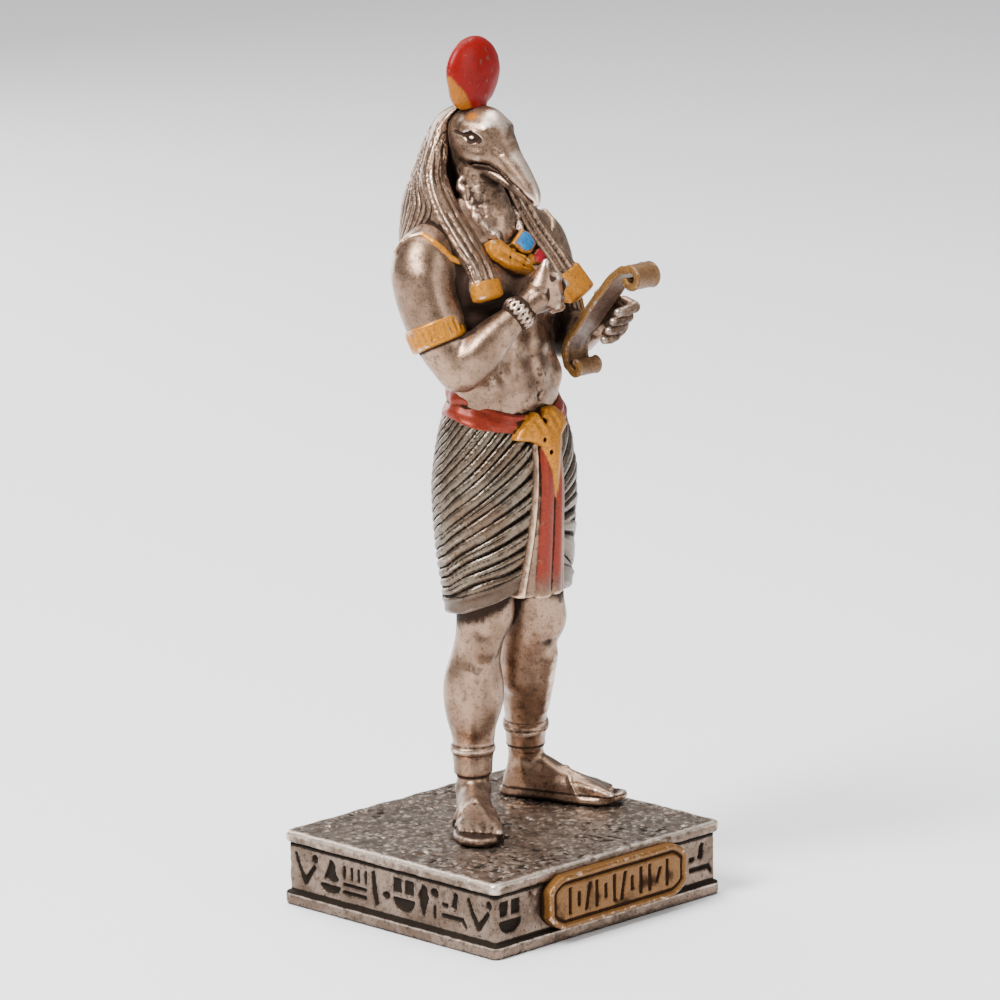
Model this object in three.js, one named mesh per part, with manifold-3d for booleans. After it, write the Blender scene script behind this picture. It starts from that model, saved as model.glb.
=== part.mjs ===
// A standing ibis-headed deity on an inscribed plinth, a small cast and hand-painted ornament.
// Millimetres, +Z up. The origin is the centre of the plinth's underside, and the figure faces -Y.

import * as THREE from 'three';
import { mergeVertices } from 'three/addons/utils/BufferGeometryUtils.js';
import Module from 'manifold-3d';

const wasm = await Module();
wasm.setup();

// Driving dimensions of the plinth

const plinthWidth = 31.4;
const plinthDepth = 28.9;
const plinthHeight = 7.5;
const topSlabHeight = 1.35;
const footSlabHeight = 1.4;
const friezeRecess = 0.5;
const slabRound = 0.4;
const cornerRound = 0.5;
const markDepth = 0.35;
const markMargin = 0.75;
const marksOnSide = 8;
const marksOnFront = 10;
const marksOnBack = 5;

// Driving dimensions of the name plate

const plateWidth = 19.1;
const plateHeight = 5.4;
const plateThickness = 0.95;
const plateShift = 0.35;
const plateRim = 0.6;
const plateGroove = 0.3;
const plateEngraving = 0.3;
const plateStrokes = 12;
const padClearance = 0.4;

// The figure's height above the plinth. Its forms are written as shares of it, in parts, and the sun
// disc's top is where its height ends.

const figureHeight = 76.5;
const discRadius = 3.35;
const discCentre = 73.15;
const partsInHeight = discCentre + discRadius;
const part = figureHeight / partsInHeight;

// Painted metal finishes

function finish(colour, roughness, metalness) {
  return new THREE.MeshStandardMaterial({ color: colour, roughness, metalness });
}

const bronze = finish(0x9c8672, 0.42, 0.85);
const darkBronze = finish(0x5f5147, 0.55, 0.8);
const paintedGold = finish(0xb98a35, 0.45, 0.6);

// Geometry helpers

const V = (x, y, z) => new THREE.Vector3(x, y, z);

function catmullRom(a, b, c, d, t) {
  const t2 = t * t;
  const t3 = t2 * t;
  const bend = (2 * a - 5 * b + 4 * c - d) * t2 + (3 * b - a - 3 * c + d) * t3;
  return 0.5 * (2 * b + (c - a) * t + bend);
}

// Rows of numbers, with a smooth curve drawn through each column
function smoothRows(rows, steps) {
  const last = rows.length - 1;
  const smooth = [];
  for (let i = 0; i < last; i += 1) {
    const before = rows[Math.max(i - 1, 0)];
    const after = rows[Math.min(i + 2, last)];
    for (let k = 0; k < steps; k += 1) {
      const between = (v, c) => catmullRom(before[c], v, rows[i + 1][c], after[c], k / steps);
      smooth.push(rows[i].map(between));
    }
  }
  smooth.push(rows[last].slice());
  return smooth;
}

// One smooth value from a list of [place, value] knots
function ramp(knots, x) {
  if (x <= knots[0][0]) return knots[0][1];
  for (let i = 1; i < knots.length; i += 1) {
    if (x <= knots[i][0]) {
      const t = (x - knots[i - 1][0]) / (knots[i][0] - knots[i - 1][0]);
      return THREE.MathUtils.lerp(knots[i - 1][1], knots[i][1], t * t * (3 - 2 * t));
    }
  }
  return knots[knots.length - 1][1];
}

function signedVolume(points, faces) {
  let six = 0;
  for (let i = 0; i < faces.length; i += 3) {
    const cross = points[faces[i + 1]].clone().cross(points[faces[i + 2]]);
    six += points[faces[i]].dot(cross);
  }
  return six / 6;
}

// A closed skin over rings with the same number of points, its ends closed by fans
function skin(rings) {
  const count = rings[0].length;
  const points = rings.flat();
  const faces = [];
  for (let j = 0; j + 1 < rings.length; j += 1) {
    for (let i = 0; i < count; i += 1) {
      const a = j * count + i;
      const b = j * count + ((i + 1) % count);
      const c = b + count;
      const d = a + count;
      const rising = points[a].distanceToSquared(points[c]) < points[b].distanceToSquared(points[d]);
      faces.push(...(rising ? [a, b, c, a, c, d] : [a, b, d, b, c, d]));
    }
  }
  for (const [ring, flip] of [[0, true], [rings.length - 1, false]]) {
    const centre = rings[ring].reduce((sum, p) => sum.add(p), V(0, 0, 0)).divideScalar(count);
    points.push(centre);
    for (let i = 0; i < count; i += 1) {
      const a = ring * count + i;
      const b = ring * count + ((i + 1) % count);
      faces.push(points.length - 1, flip ? b : a, flip ? a : b);
    }
  }
  if (signedVolume(points, faces) < 0) faces.reverse();
  const geometry = new THREE.BufferGeometry().setFromPoints(points);
  geometry.setIndex(faces);
  return geometry;
}

function solid(geometry) {
  const bare = geometry.clone();
  bare.deleteAttribute('normal');
  bare.deleteAttribute('uv');
  const merged = mergeVertices(bare, 1e-4);
  const corners = [];
  const index = merged.index.array;
  for (let i = 0; i < index.length; i += 3) {
    const [a, b, c] = [index[i], index[i + 1], index[i + 2]];
    if (a !== b && b !== c && c !== a) corners.push(a, b, c);
  }
  return new wasm.Manifold(new wasm.Mesh({
    numProp: 3,
    vertProperties: new Float32Array(merged.attributes.position.array),
    triVerts: new Uint32Array(corners),
  }));
}

function union(solids) {
  return solids.reduce((whole, next) => whole.add(next));
}

function geometryOf(body) {
  const mesh = body.getMesh();
  const geometry = new THREE.BufferGeometry();
  geometry.setAttribute('position', new THREE.BufferAttribute(mesh.vertProperties, 3));
  geometry.setIndex(new THREE.BufferAttribute(mesh.triVerts, 1));
  return geometry;
}

// A limb or any drawn-out form: rows of [x, y, z, half width, half depth] along it, and the way its
// front looks. The wave function swells or pinches the ring at an angle, for ribs and locks.
function limb(rows, sides, front, { steps = 2, power = 2, wave = () => 1 } = {}) {
  const smooth = smoothRows(rows, steps);
  const middle = smooth.map(([x, y, z]) => V(x, y, z));
  const rings = smooth.map(([, , , wide, deep], j) => {
    const ahead = middle[Math.min(j + 1, middle.length - 1)];
    const behind = middle[Math.max(j - 1, 0)];
    const along = ahead.clone().sub(behind).normalize();
    const side = along.clone().cross(front).normalize();
    const out = side.clone().cross(along).normalize();
    const ring = [];
    for (let i = 0; i < sides; i += 1) {
      const angle = (2 * Math.PI * i) / sides;
      const c = Math.cos(angle);
      const s = Math.sin(angle);
      const bulge = wave(angle, j / (middle.length - 1));
      const x = Math.sign(c) * Math.abs(c) ** (2 / power) * wide * bulge;
      const y = Math.sign(s) * Math.abs(s) ** (2 / power) * deep * bulge;
      ring.push(middle[j].clone().addScaledVector(side, x).addScaledVector(out, y));
    }
    return ring;
  });
  return solid(skin(rings));
}

// A rounded lump with its own half sizes, turned by Euler angles in degrees
function lump(centre, half, turn = [0, 0, 0], across = 7, down = 5) {
  const ball = new THREE.SphereGeometry(1, across, down);
  ball.scale(...half);
  const [a, b, c] = turn.map(THREE.MathUtils.degToRad);
  ball.applyMatrix4(new THREE.Matrix4().makeRotationFromEuler(new THREE.Euler(a, b, c)));
  ball.translate(...centre);
  return solid(ball);
}

const front = V(0, -1, 0);

function facing(degrees) {
  const turn = THREE.MathUtils.degToRad(degrees);
  return V(Math.sin(turn), -Math.cos(turn), 0);
}

// Legs and feet, in parts above the plinth

const rightToeOut = -41;
const leftToeOut = 24;

const rightLegRows = [
  [-1.5, 1.4, 27.5, 2.95, 3.25],
  [-1.05, 1.55, 22.5, 2.5, 2.75],
  [-0.9, 1.8, 19.3, 2.35, 2.55],
  [-0.95, 2.3, 16.8, 2.35, 2.35],
  [-1.2, 2.85, 13.8, 2.65, 2.6],
  [-1.1, 2.95, 11.2, 2.55, 2.5],
  [-0.85, 2.95, 8.6, 2.1, 2.0],
  [-0.85, 3.0, 6.2, 1.8, 1.75],
  [-0.9, 3.0, 4.2, 1.55, 1.65],
  [-0.9, 3.0, 2.2, 1.5, 1.8],
];

const leftLegRows = [
  [4.8, 0.4, 27.5, 2.95, 3.25],
  [5.5, 0.35, 22.3, 2.5, 2.75],
  [5.95, 0.65, 19.0, 2.35, 2.5],
  [6.2, 1.6, 16.6, 2.25, 2.3],
  [6.8, 2.75, 13.8, 2.35, 2.5],
  [7.35, 3.7, 11.3, 2.2, 2.4],
  [8.0, 4.5, 8.8, 1.95, 2.1],
  [8.65, 5.25, 6.4, 1.8, 1.9],
  [9.1, 5.6, 4.4, 1.55, 1.75],
  [9.2, 5.8, 2.2, 1.5, 1.9],
];

const footLength = 13.0;
const soleThickness = 0.85;
const soleSegments = 6;

// Half width of the sandal's sole at a share of its length, from heel to toe
const soleHalfWidth = [
  [0, 0.0], [0.04, 0.95], [0.14, 1.6], [0.4, 1.75], [0.72, 2.45], [0.9, 2.05], [1, 0.45],
];

// The foot above the sole, as shares of the foot's length: how far along, half width, height
const footRows = [
  [0.03, 0.06, 0.1],
  [0.1, 0.115, 0.23],
  [0.24, 0.13, 0.3],
  [0.38, 0.135, 0.27],
  [0.52, 0.15, 0.19],
  [0.66, 0.172, 0.135],
  [0.78, 0.172, 0.1],
  [0.86, 0.15, 0.07],
];

function sole(tipLift) {
  const rings = [];
  for (let j = 0; j <= soleSegments; j += 1) {
    const share = j / soleSegments;
    const half = Math.max(ramp(soleHalfWidth, share), 0.3);
    const lift = tipLift * Math.max(0, share - 0.85) ** 2 / 0.0225;
    const y = -share * footLength;
    const top = lift + soleThickness;
    rings.push([V(-half, y, lift), V(half, y, lift), V(half, y, top), V(-half, y, top)]);
  }
  return solid(skin(rings));
}

// The instep's cross-section, as shares of its half width and height
const instepArch = [[-1, 0], [-0.85, 0.6], [-0.4, 1], [0.4, 1], [0.85, 0.6], [1, 0]];

function footTop() {
  const inSole = soleThickness * 0.6;
  const rings = footRows.map(([share, half, height]) => instepArch.map(([across, rise]) => (
    V(across * half * footLength, -share * footLength, inSole + rise * height * footLength)
  )));
  return solid(skin(rings));
}

// Five toes as one scalloped form, the big toe on the inner side, which inward tells as +1 or -1 along x
const toeCount = 5;
const toeSpread = 4.3;
const toeStations = [
  { back: 0.13, rise: 1.15, dip: 0.4 },
  { back: 0, rise: 0.6, dip: 0.3 },
];

function toes(inward) {
  const rings = toeStations.map(({ back, rise, dip }) => {
    const ring = [];
    for (let k = 0; k <= 2 * toeCount; k += 1) {
      const outward = k / (2 * toeCount);
      const between = k % 2 === 0;
      const reach = 0.945 - 0.11 * outward - back - (between ? 0.03 : 0);
      const top = soleThickness + (rise - (between ? dip : 0)) * (1.1 - 0.35 * outward);
      ring.push(V(inward * toeSpread * (0.5 - outward), -reach * footLength, top));
    }
    const heel = -(0.9 - back) * footLength;
    ring.push(V(-inward * toeSpread * 0.45, heel, soleThickness * 0.5));
    ring.push(V(inward * toeSpread * 0.45, heel, soleThickness * 0.5));
    return ring;
  });
  return solid(skin(rings));
}

function foot(ankle, toeOut, heelBack, inward, tipLift) {
  const geometry = geometryOf(union([sole(tipLift), footTop(), toes(inward)]));
  geometry.translate(0, heelBack, 0);
  geometry.rotateZ(THREE.MathUtils.degToRad(toeOut));
  geometry.translate(ankle[0], ankle[1], 0);
  return solid(geometry);
}

// A turned band round a limb: rows of [height above its foot, radius], leaning with the limb
function band(foot, lean, rows, sides = 10) {
  const [x, y, z] = foot;
  const placed = rows.map(([rise, radius]) => (
    [x + lean[0] * rise, y + lean[1] * rise, z + rise, radius, radius]
  ));
  return limb(placed, sides, front, { steps: 1 });
}

function legs() {
  return union([
    limb(rightLegRows, 10, facing(rightToeOut), { steps: 1 }),
    limb(leftLegRows, 10, facing(leftToeOut), { steps: 1 }),
    foot([-0.9, 3.0], rightToeOut, 2.9, 1, 0),
    foot([9.2, 5.8], leftToeOut, 2.6, -1, 0.5),
    band([-0.88, 3.0, 4.7], [0, 0], [[0, 1.85], [2.05, 1.98], [2.1, 2.2], [2.9, 2.1]]),
    band([8.9, 5.42, 5.4], [-0.25, -0.26], [[0, 1.9], [1.75, 2.0], [1.8, 2.3], [2.5, 2.2]]),
  ]);
}

// Torso, in parts above the plinth

const torsoRows = [
  [1.2, 0.6, 36.5, 6.2, 4.4],
  [1.05, 0.5, 41.5, 5.9, 4.2],
  [1.0, 0.55, 44.0, 5.6, 3.95],
  [0.9, 0.9, 46.8, 6.0, 4.1],
  [0.75, 1.5, 50.0, 7.0, 4.5],
  [0.6, 2.0, 53.0, 7.7, 4.8],
  [0.45, 2.5, 55.4, 7.6, 4.5],
  [0.3, 2.9, 57.4, 6.3, 3.7],
  [0.1, 3.0, 59.0, 4.2, 3.0],
  [0.0, 3.0, 60.4, 2.6, 2.5],
];

// Chest and belly muscles as a swelling of the torso. Each row is the angle from the front, the share
// of the torso's height, how far each reaches round and up, and how proud it stands.
const torsoMuscles = [
  [-32, 0.63, 34, 0.16, 0.17],
  [32, 0.63, 34, 0.16, 0.17],
  [-20, 0.32, 18, 0.2, 0.1],
  [20, 0.32, 18, 0.2, 0.1],
];

function torsoSwell(angle, share) {
  const degrees = THREE.MathUtils.radToDeg(angle) - 90;
  return torsoMuscles.reduce((sum, [round, height, across, tall, proud]) => {
    const u = (degrees - round) / across;
    const v = (share - height) / tall;
    return sum + proud * Math.exp(-u * u - v * v);
  }, 1);
}

function torso() {
  return limb(torsoRows, 16, front, { steps: 1, power: 2.3, wave: torsoSwell });
}

// Arms and hands, in parts above the plinth

const rightArmRows = [
  [-5.2, 2.9, 57.4, 1.5, 1.5],
  [-6.7, 2.9, 56.8, 2.3, 2.3],
  [-7.6, 2.6, 54.8, 2.75, 2.8],
  [-7.9, 1.8, 52.4, 2.65, 2.75],
  [-7.85, 0.8, 50.0, 2.45, 2.55],
  [-7.4, -0.5, 47.9, 2.35, 2.45],
  [-7.0, -1.6, 46.2, 2.05, 2.15],
  [-6.7, -2.2, 45.1, 1.2, 1.2],
];

const rightForearmRows = [
  [-7.5, -1.4, 45.2, 1.1, 1.2],
  [-6.8, -2.1, 46.1, 1.9, 2.0],
  [-5.8, -3.0, 47.5, 2.15, 2.15],
  [-4.6, -4.0, 49.2, 1.85, 1.8],
  [-3.0, -4.9, 50.8, 1.4, 1.3],
  [-1.8, -5.4, 51.8, 1.25, 1.1],
  [-0.6, -5.8, 52.6, 1.5, 1.2],
];

const leftArmRows = [
  [6.0, 2.9, 57.4, 1.5, 1.5],
  [7.5, 2.8, 56.6, 2.3, 2.3],
  [8.5, 2.6, 54.6, 2.7, 2.8],
  [9.0, 2.2, 52.4, 2.6, 2.7],
  [9.2, 1.6, 50.2, 2.4, 2.5],
  [9.3, 1.0, 48.2, 2.3, 2.4],
  [9.3, 0.4, 46.8, 2.0, 2.1],
  [9.2, 0.0, 45.8, 1.2, 1.2],
];

const leftForearmRows = [
  [9.5, 1.2, 45.8, 1.2, 1.2],
  [9.2, 0.1, 46.5, 1.95, 2.0],
  [8.6, -1.9, 47.1, 2.05, 2.05],
  [7.8, -3.9, 47.8, 1.7, 1.7],
  [7.0, -5.6, 48.5, 1.3, 1.35],
  [6.6, -6.8, 49.0, 1.15, 1.4],
  [6.6, -8.0, 49.5, 1.1, 1.6],
];

// Four curled fingers of the fist at the chest, one row of joints each
function fist() {
  const fingers = [0, 1, 2, 3].map((i) => {
    const drop = 0.98 * i;
    return limb([
      [0.5 + 0.1 * i, -5.6, 55.6 - drop, 0.55, 0.55],
      [1.0, -7.4, 55.1 - drop, 0.62, 0.58],
      [2.3, -6.7, 54.6 - drop, 0.45, 0.45],
    ], 4, V(0, 0, 1), { steps: 1 });
  });
  return union([
    lump([0.6, -5.7, 53.3], [1.7, 1.6, 2.2], [0, 20, 0]),
    ...fingers,
    limb([[-0.6, -6.4, 52.7, 0.6, 0.6], [1.8, -7.6, 53.9, 0.5, 0.5]], 4, V(0, 0, 1), { steps: 1 }),
  ]);
}

// The scroll, half open and rolled forward at both ends, held by its far edge

const scrollNear = 3.5;
const scrollFar = 6.6;
const scrollThickness = 0.78;
const scrollRun = 7.25;
const scrollFall = 9.5;
const topRoll = {
  y: -13.85, z: 54.8, radius: 1.0, fromDegrees: 48, turnDegrees: 285, shrinkShare: 0.25,
};
const bottomRoll = {
  y: topRoll.y + scrollRun, z: topRoll.z - scrollFall, radius: 0.62,
  fromDegrees: -25, turnDegrees: -235, shrinkShare: 0.2,
};
const rollSteps = 6;

// The sheet's middle line from the top roll to the bottom roll, as shares of the run and of the fall
const sheetLine = [
  [0.152, -0.079], [0.338, 0.021], [0.517, 0.168], [0.724, 0.347], [0.945, 0.558], [1.124, 0.726],
  [1.186, 0.863], [1.152, 0.989],
];

function rollPoints(roll) {
  const points = [];
  for (let i = 0; i <= rollSteps; i += 1) {
    const share = i / rollSteps;
    const angle = THREE.MathUtils.degToRad(roll.fromDegrees + roll.turnDegrees * share);
    const r = roll.radius * (1 - roll.shrinkShare * share);
    points.push([roll.y + Math.cos(angle) * r, roll.z + Math.sin(angle) * r]);
  }
  return points;
}

function ribbonOutline(line, thickness) {
  const left = [];
  const right = [];
  line.forEach(([y, z], i) => {
    const [y0, z0] = line[Math.max(i - 1, 0)];
    const [y1, z1] = line[Math.min(i + 1, line.length - 1)];
    const length = Math.hypot(y1 - y0, z1 - z0);
    const ny = (-(z1 - z0) / length) * (thickness / 2);
    const nz = ((y1 - y0) / length) * (thickness / 2);
    left.push(new THREE.Vector2(y + ny, z + nz));
    right.push(new THREE.Vector2(y - ny, z - nz));
  });
  return new THREE.Shape([...left, ...right.reverse()]);
}

function scroll() {
  const line = [
    ...rollPoints(topRoll).reverse(),
    ...sheetLine.map(([run, fall]) => [topRoll.y + run * scrollRun, topRoll.z - fall * scrollFall]),
    ...rollPoints(bottomRoll),
  ];
  const shape = ribbonOutline(line, scrollThickness);
  const sheet = new THREE.ExtrudeGeometry(shape, { depth: scrollFar - scrollNear, bevelEnabled: false });
  // The outline's own x and y become the model's y and z, and its depth becomes x
  sheet.applyMatrix4(new THREE.Matrix4().makeBasis(V(0, 1, 0), V(0, 0, 1), V(1, 0, 0)));
  sheet.translate(scrollNear, 0, 0);
  return solid(sheet);
}

// Fingers laid over the scroll's face, and the thumb behind it
function scrollHand() {
  const fingers = [0, 1, 2, 3].map((i) => {
    const y = -10.5 + 0.85 * i;
    const z = 51.4 - 1.03 * i;
    const end = 4.7 + 0.2 * i;
    return limb([
      [6.9, y + 1.2, z + 0.8, 0.6, 0.6],
      [7.0, y - 0.3, z - 0.2, 0.58, 0.55],
      [end, y - 0.5, z - 0.4, 0.45, 0.42],
    ], 4, V(0, 0, 1), { steps: 1 });
  });
  return union([
    lump([6.8, -8.2, 49.9], [1.0, 2.2, 1.9], [40, 0, 0]),
    ...fingers,
    limb([[7.0, -6.6, 50.4, 0.7, 0.7], [5.4, -8.1, 52.4, 0.5, 0.5]], 4, V(0, 0, 1), { steps: 1 }),
  ]);
}

function armband(rows) {
  return limb(rows, 11, front, { steps: 1 });
}

function arms() {
  const bead = (angle) => 1 + 0.06 * Math.cos(angle * 5);
  return union([
    limb(rightArmRows, 9, front, { steps: 1 }),
    limb(rightForearmRows, 8, V(0, 0, 1), { steps: 1 }),
    limb(leftArmRows, 8, front, { steps: 1 }),
    limb(leftForearmRows, 7, V(0, 0, 1), { steps: 1 }),
    armband([[-7.9, 0.85, 50.3, 2.85, 2.95], [-7.7, 0.05, 48.5, 2.8, 2.9]]),
    armband([[9.2, 1.55, 50.2, 2.75, 2.85], [9.35, 1.0, 48.2, 2.7, 2.8]]),
    limb([[-2.7, -5.05, 51.1, 1.55, 1.45], [-2.0, -5.35, 51.7, 1.5, 1.4]], 10, V(0, 0, 1),
      { steps: 1, wave: bead }),
    fist(),
    scroll(),
    scrollHand(),
  ]);
}

// Kilt, belt and apron, in parts above the plinth

const kiltRows = [
  [1.1, 0.55, 42.0, 5.9, 4.35],
  [1.15, 0.55, 40.0, 6.75, 4.95],
  [1.25, 0.58, 37.0, 7.5, 5.5],
  [1.3, 0.6, 33.5, 7.95, 5.75],
  [1.35, 0.6, 29.0, 7.8, 5.5],
  [1.5, 0.58, 25.0, 7.4, 5.15],
  [1.7, 0.55, 22.3, 7.05, 4.9],
];

const kiltColumns = 20;
const columnCrowding = 1.22;
const foldPitch = 1.5;
const foldDepth = 0.42;
const foldFirst = 25.4;
const foldLast = 64.0;
const foldWiden = 41.0;
const apronHalfAngle = 20;
const apronMiddleAngle = -1;
const beltHeight = 2.1;
const beltProud = 0.25;

// The kilt's middle and half sizes at a height
function kiltAt(z) {
  let i = 0;
  while (i < kiltRows.length - 2 && kiltRows[i + 1][2] > z) i += 1;
  const t = THREE.MathUtils.clamp((kiltRows[i][2] - z) / (kiltRows[i][2] - kiltRows[i + 1][2]), 0, 1);
  return kiltRows[i].map((v, c) => THREE.MathUtils.lerp(v, kiltRows[i + 1][c], t));
}

// How far round from the apron an angle is: 0 at its edge, 1 at the side, 2 at the middle of the back
function wrapShare(degrees) {
  const round = Math.abs(THREE.MathUtils.euclideanModulo(degrees - apronMiddleAngle + 180, 360) - 180);
  return Math.max(0, (round - apronHalfAngle) / 75);
}

// Height of the fold line that starts at the apron's edge at a given height
function foldLine(start, share) {
  const fall = 2.9 + 0.42 * Math.max(0, start - foldFirst);
  const eased = share < 1 ? share ** 0.85 : 1 + 0.3 * Math.sin(Math.min(share - 1, 1) * Math.PI / 2);
  return start - fall * eased;
}

// The folds grow shallower where their lines crowd together, at the side and under the belt
function foldRoom(start, share) {
  const steep = THREE.MathUtils.clamp((start - foldFirst) / 20, 0, 1);
  return 1 - 0.6 * steep * Math.min(share, 1);
}

function kiltHem(degrees) {
  return ramp([[0, 24.1], [0.35, 22.9], [0.8, 21.8], [1.4, 21.2], [2.2, 21.6]], wrapShare(degrees));
}

function beltLower(degrees) {
  return 40.9 - 1.4 * Math.max(0, Math.cos(THREE.MathUtils.degToRad(degrees)));
}

function kiltPoint(degrees, z, proud) {
  const [x, y, , wide, deep] = kiltAt(z);
  const angle = THREE.MathUtils.degToRad(degrees);
  return V(x + Math.sin(angle) * (wide + proud), y - Math.cos(angle) * (deep + proud), z);
}

function kilt() {
  const rings = [];
  // The columns crowd together at the front, where the folds curve most
  const column = (place) => {
    const ring = [];
    for (let i = 0; i < kiltColumns; i += 1) {
      const round = (2 * i) / kiltColumns - 1;
      ring.push(place(180 * Math.sign(round) * Math.abs(round) ** columnCrowding));
    }
    return ring;
  };
  const hemBand = 1.5;
  rings.push(column((a) => kiltPoint(a, kiltHem(a), -0.9)));
  rings.push(column((a) => kiltPoint(a, kiltHem(a), 0.1)));
  rings.push(column((a) => kiltPoint(a, kiltHem(a) + hemBand, 0.15)));
  const pitchAt = (start) => (start < foldWiden ? foldPitch : foldPitch * 1.4);
  for (let start = foldFirst; start < foldLast; start += pitchAt(start)) {
    for (const [share, proud] of [[0, -foldDepth], [0.3, 0.2]]) {
      rings.push(column((a) => {
        const low = kiltHem(a) + hemBand;
        const high = beltLower(a) + 0.6;
        const z = foldLine(start + share * foldPitch, wrapShare(a));
        if (z <= low) return kiltPoint(a, low, 0.15);
        if (z >= high) return kiltPoint(a, high, 0);
        return kiltPoint(a, z, proud * foldRoom(start, wrapShare(a)));
      }));
    }
  }
  rings.push(column((a) => kiltPoint(a, beltLower(a) + 0.6, 0)));
  return solid(skin(rings));
}

// A band laid round the body between two heights, each given for an angle
function sash(low, high, proud, columns = 18) {
  const ring = (height, out) => {
    const points = [];
    for (let i = 0; i < columns; i += 1) {
      const degrees = (360 * i) / columns;
      points.push(kiltPoint(degrees, height(degrees), out));
    }
    return points;
  };
  const between = (t) => (a) => THREE.MathUtils.lerp(low(a), high(a), t);
  return solid(skin([
    ring(between(0), proud - 0.5), ring(between(0.2), proud + 0.15), ring(between(0.45), proud - 0.1),
    ring(between(0.8), proud + 0.1), ring(between(1), proud - 0.6),
  ]));
}

// A strip that hangs down the kilt's front: rows of [height, left x, right x], and how proud it stands
function hanging(rows, proud) {
  const rings = rows.map(([z, left, right]) => {
    const [x, y, , wide, deep] = kiltAt(z);
    const frontAt = (px) => y - deep * Math.sqrt(Math.max(0, 1 - ((px - x) / wide) ** 2));
    const middle = (left + right) / 2;
    return [
      V(left, frontAt(left) - proud, z), V(middle, frontAt(middle) - proud - 0.1, z),
      V(right, frontAt(right) - proud, z),
      V(right, frontAt(right) + 0.7, z), V(left, frontAt(left) + 0.7, z),
    ];
  });
  return solid(skin(rings));
}

function apron() {
  return union([
    hanging([[40.5, -0.3, 4.0], [37.0, -0.35, 4.0], [30.0, -0.9, 4.2], [23.3, -1.75, 4.7]], 0.35),
    hanging([[40.5, 0.3, 1.6], [32.0, 0.15, 1.75], [23.0, 0.0, 1.9]], 0.7),
    hanging([[40.5, 2.1, 3.5], [32.0, 2.1, 3.6], [23.1, 2.2, 4.1]], 0.65),
  ]);
}

// Lays a form that was made flat, against y = 0, round the front of the kilt and the belt
function bentRoundKilt(geometry) {
  const place = geometry.attributes.position;
  for (let i = 0; i < place.count; i += 1) {
    const [x, y, , wide, deep] = kiltAt(place.getZ(i));
    const share = THREE.MathUtils.clamp((place.getX(i) - x) / wide, -1, 1);
    place.setY(i, place.getY(i) + y + 0.6 - deep * Math.sqrt(1 - share * share));
  }
  return geometry;
}

// The winged clasp of the belt, with a tongue that hangs over the apron
function buckle() {
  const outline = new THREE.Shape();
  outline.moveTo(-2.2, 39.4);
  outline.quadraticCurveTo(-1.4, 41.0, 0.6, 41.6);
  outline.lineTo(1.1, 40.9);
  outline.lineTo(1.7, 41.7);
  outline.quadraticCurveTo(4.0, 41.6, 4.8, 39.6);
  outline.lineTo(3.2, 38.9);
  outline.lineTo(2.9, 36.4);
  outline.lineTo(2.3, 32.6);
  outline.lineTo(1.7, 35.6);
  outline.lineTo(0.6, 38.3);
  outline.lineTo(-0.6, 39.0);
  const plate = new THREE.ExtrudeGeometry(outline, { depth: 1.4, bevelEnabled: false, curveSegments: 4 });
  plate.rotateX(Math.PI / 2);
  plate.translate(0, -beltProud, 0);
  return solid(bentRoundKilt(plate));
}

// Collar and wing over the chest, in parts above the plinth

function collar() {
  const steps = 6;
  const bandRow = (i, round, forward, high, dip, half) => {
    const angle = THREE.MathUtils.degToRad(-80 + (160 * i) / steps);
    const c = Math.cos(angle);
    return [0.5 + Math.sin(angle) * round, 1.6 - c * forward, high - dip * c, half, 0.35];
  };
  const inner = [];
  const outer = [];
  for (let i = 0; i <= steps; i += 1) {
    inner.push(bandRow(i, 3.7, 3.6, 58.6, 2.1, 0.75));
    outer.push(bandRow(i, 5.0, 4.6, 58.2, 3.2, 0.8));
  }
  return union([
    limb(inner, 5, V(0, -0.8, 0.6), { steps: 1 }),
    limb(outer, 5, V(0, -0.9, 0.45), { steps: 1 }),
    limb([[-3.5, -1.7, 57.3, 0.4, 0.35], [-2.2, -2.6, 56.9, 1.1, 0.6], [-0.3, -3.1, 55.9, 1.2, 0.65],
      [1.7, -3.3, 54.9, 0.5, 0.4]], 6, V(0, -1, 0.3), { steps: 1 }),
  ]);
}

// Neck, head and beak, in parts above the plinth

const neckRows = [
  [0, 3.4, 65.6, 2.2, 2.3],
  [0, 2.4, 62.6, 2.05, 2.15],
  [0, 1.6, 60.6, 2.25, 2.3],
  [0, 1.0, 58.7, 2.5, 2.5],
  [0, 0.9, 57.0, 2.6, 2.4],
];

const headRows = [
  [0, 5.4, 67.8, 1.4, 1.5],
  [0, 3.7, 67.1, 2.6, 2.7],
  [0, 2.1, 66.8, 2.7, 2.95],
  [0, 0.8, 66.5, 2.35, 2.7],
  [0, -0.3, 65.9, 1.95, 2.1],
  [0, -1.5, 65.15, 1.55, 1.45],
  [0, -2.7, 64.2, 1.3, 1.2],
  [0, -3.8, 63.2, 1.05, 1.0],
  [0, -4.7, 62.25, 0.8, 0.8],
  [0, -5.2, 61.5, 0.4, 0.45],
];

const lowerBeakRows = [
  [0, 2.3, 64.0, 1.7, 0.8],
  [0, 0.5, 63.95, 1.35, 0.7],
  [0, -1.3, 63.3, 1.05, 0.6],
  [0, -2.9, 62.55, 0.85, 0.5],
  [0, -4.4, 61.75, 0.6, 0.4],
  [0, -5.1, 61.35, 0.3, 0.25],
];

const eyeSide = 2.3;

// The brow: a swelling of the head above each eye
function brow(angle, share) {
  const up = (Math.abs(THREE.MathUtils.radToDeg(angle) - 90) - 52) / 20;
  const along = (share - 0.36) / 0.13;
  return 1 + 0.07 * Math.exp(-up * up - along * along);
}

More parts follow.
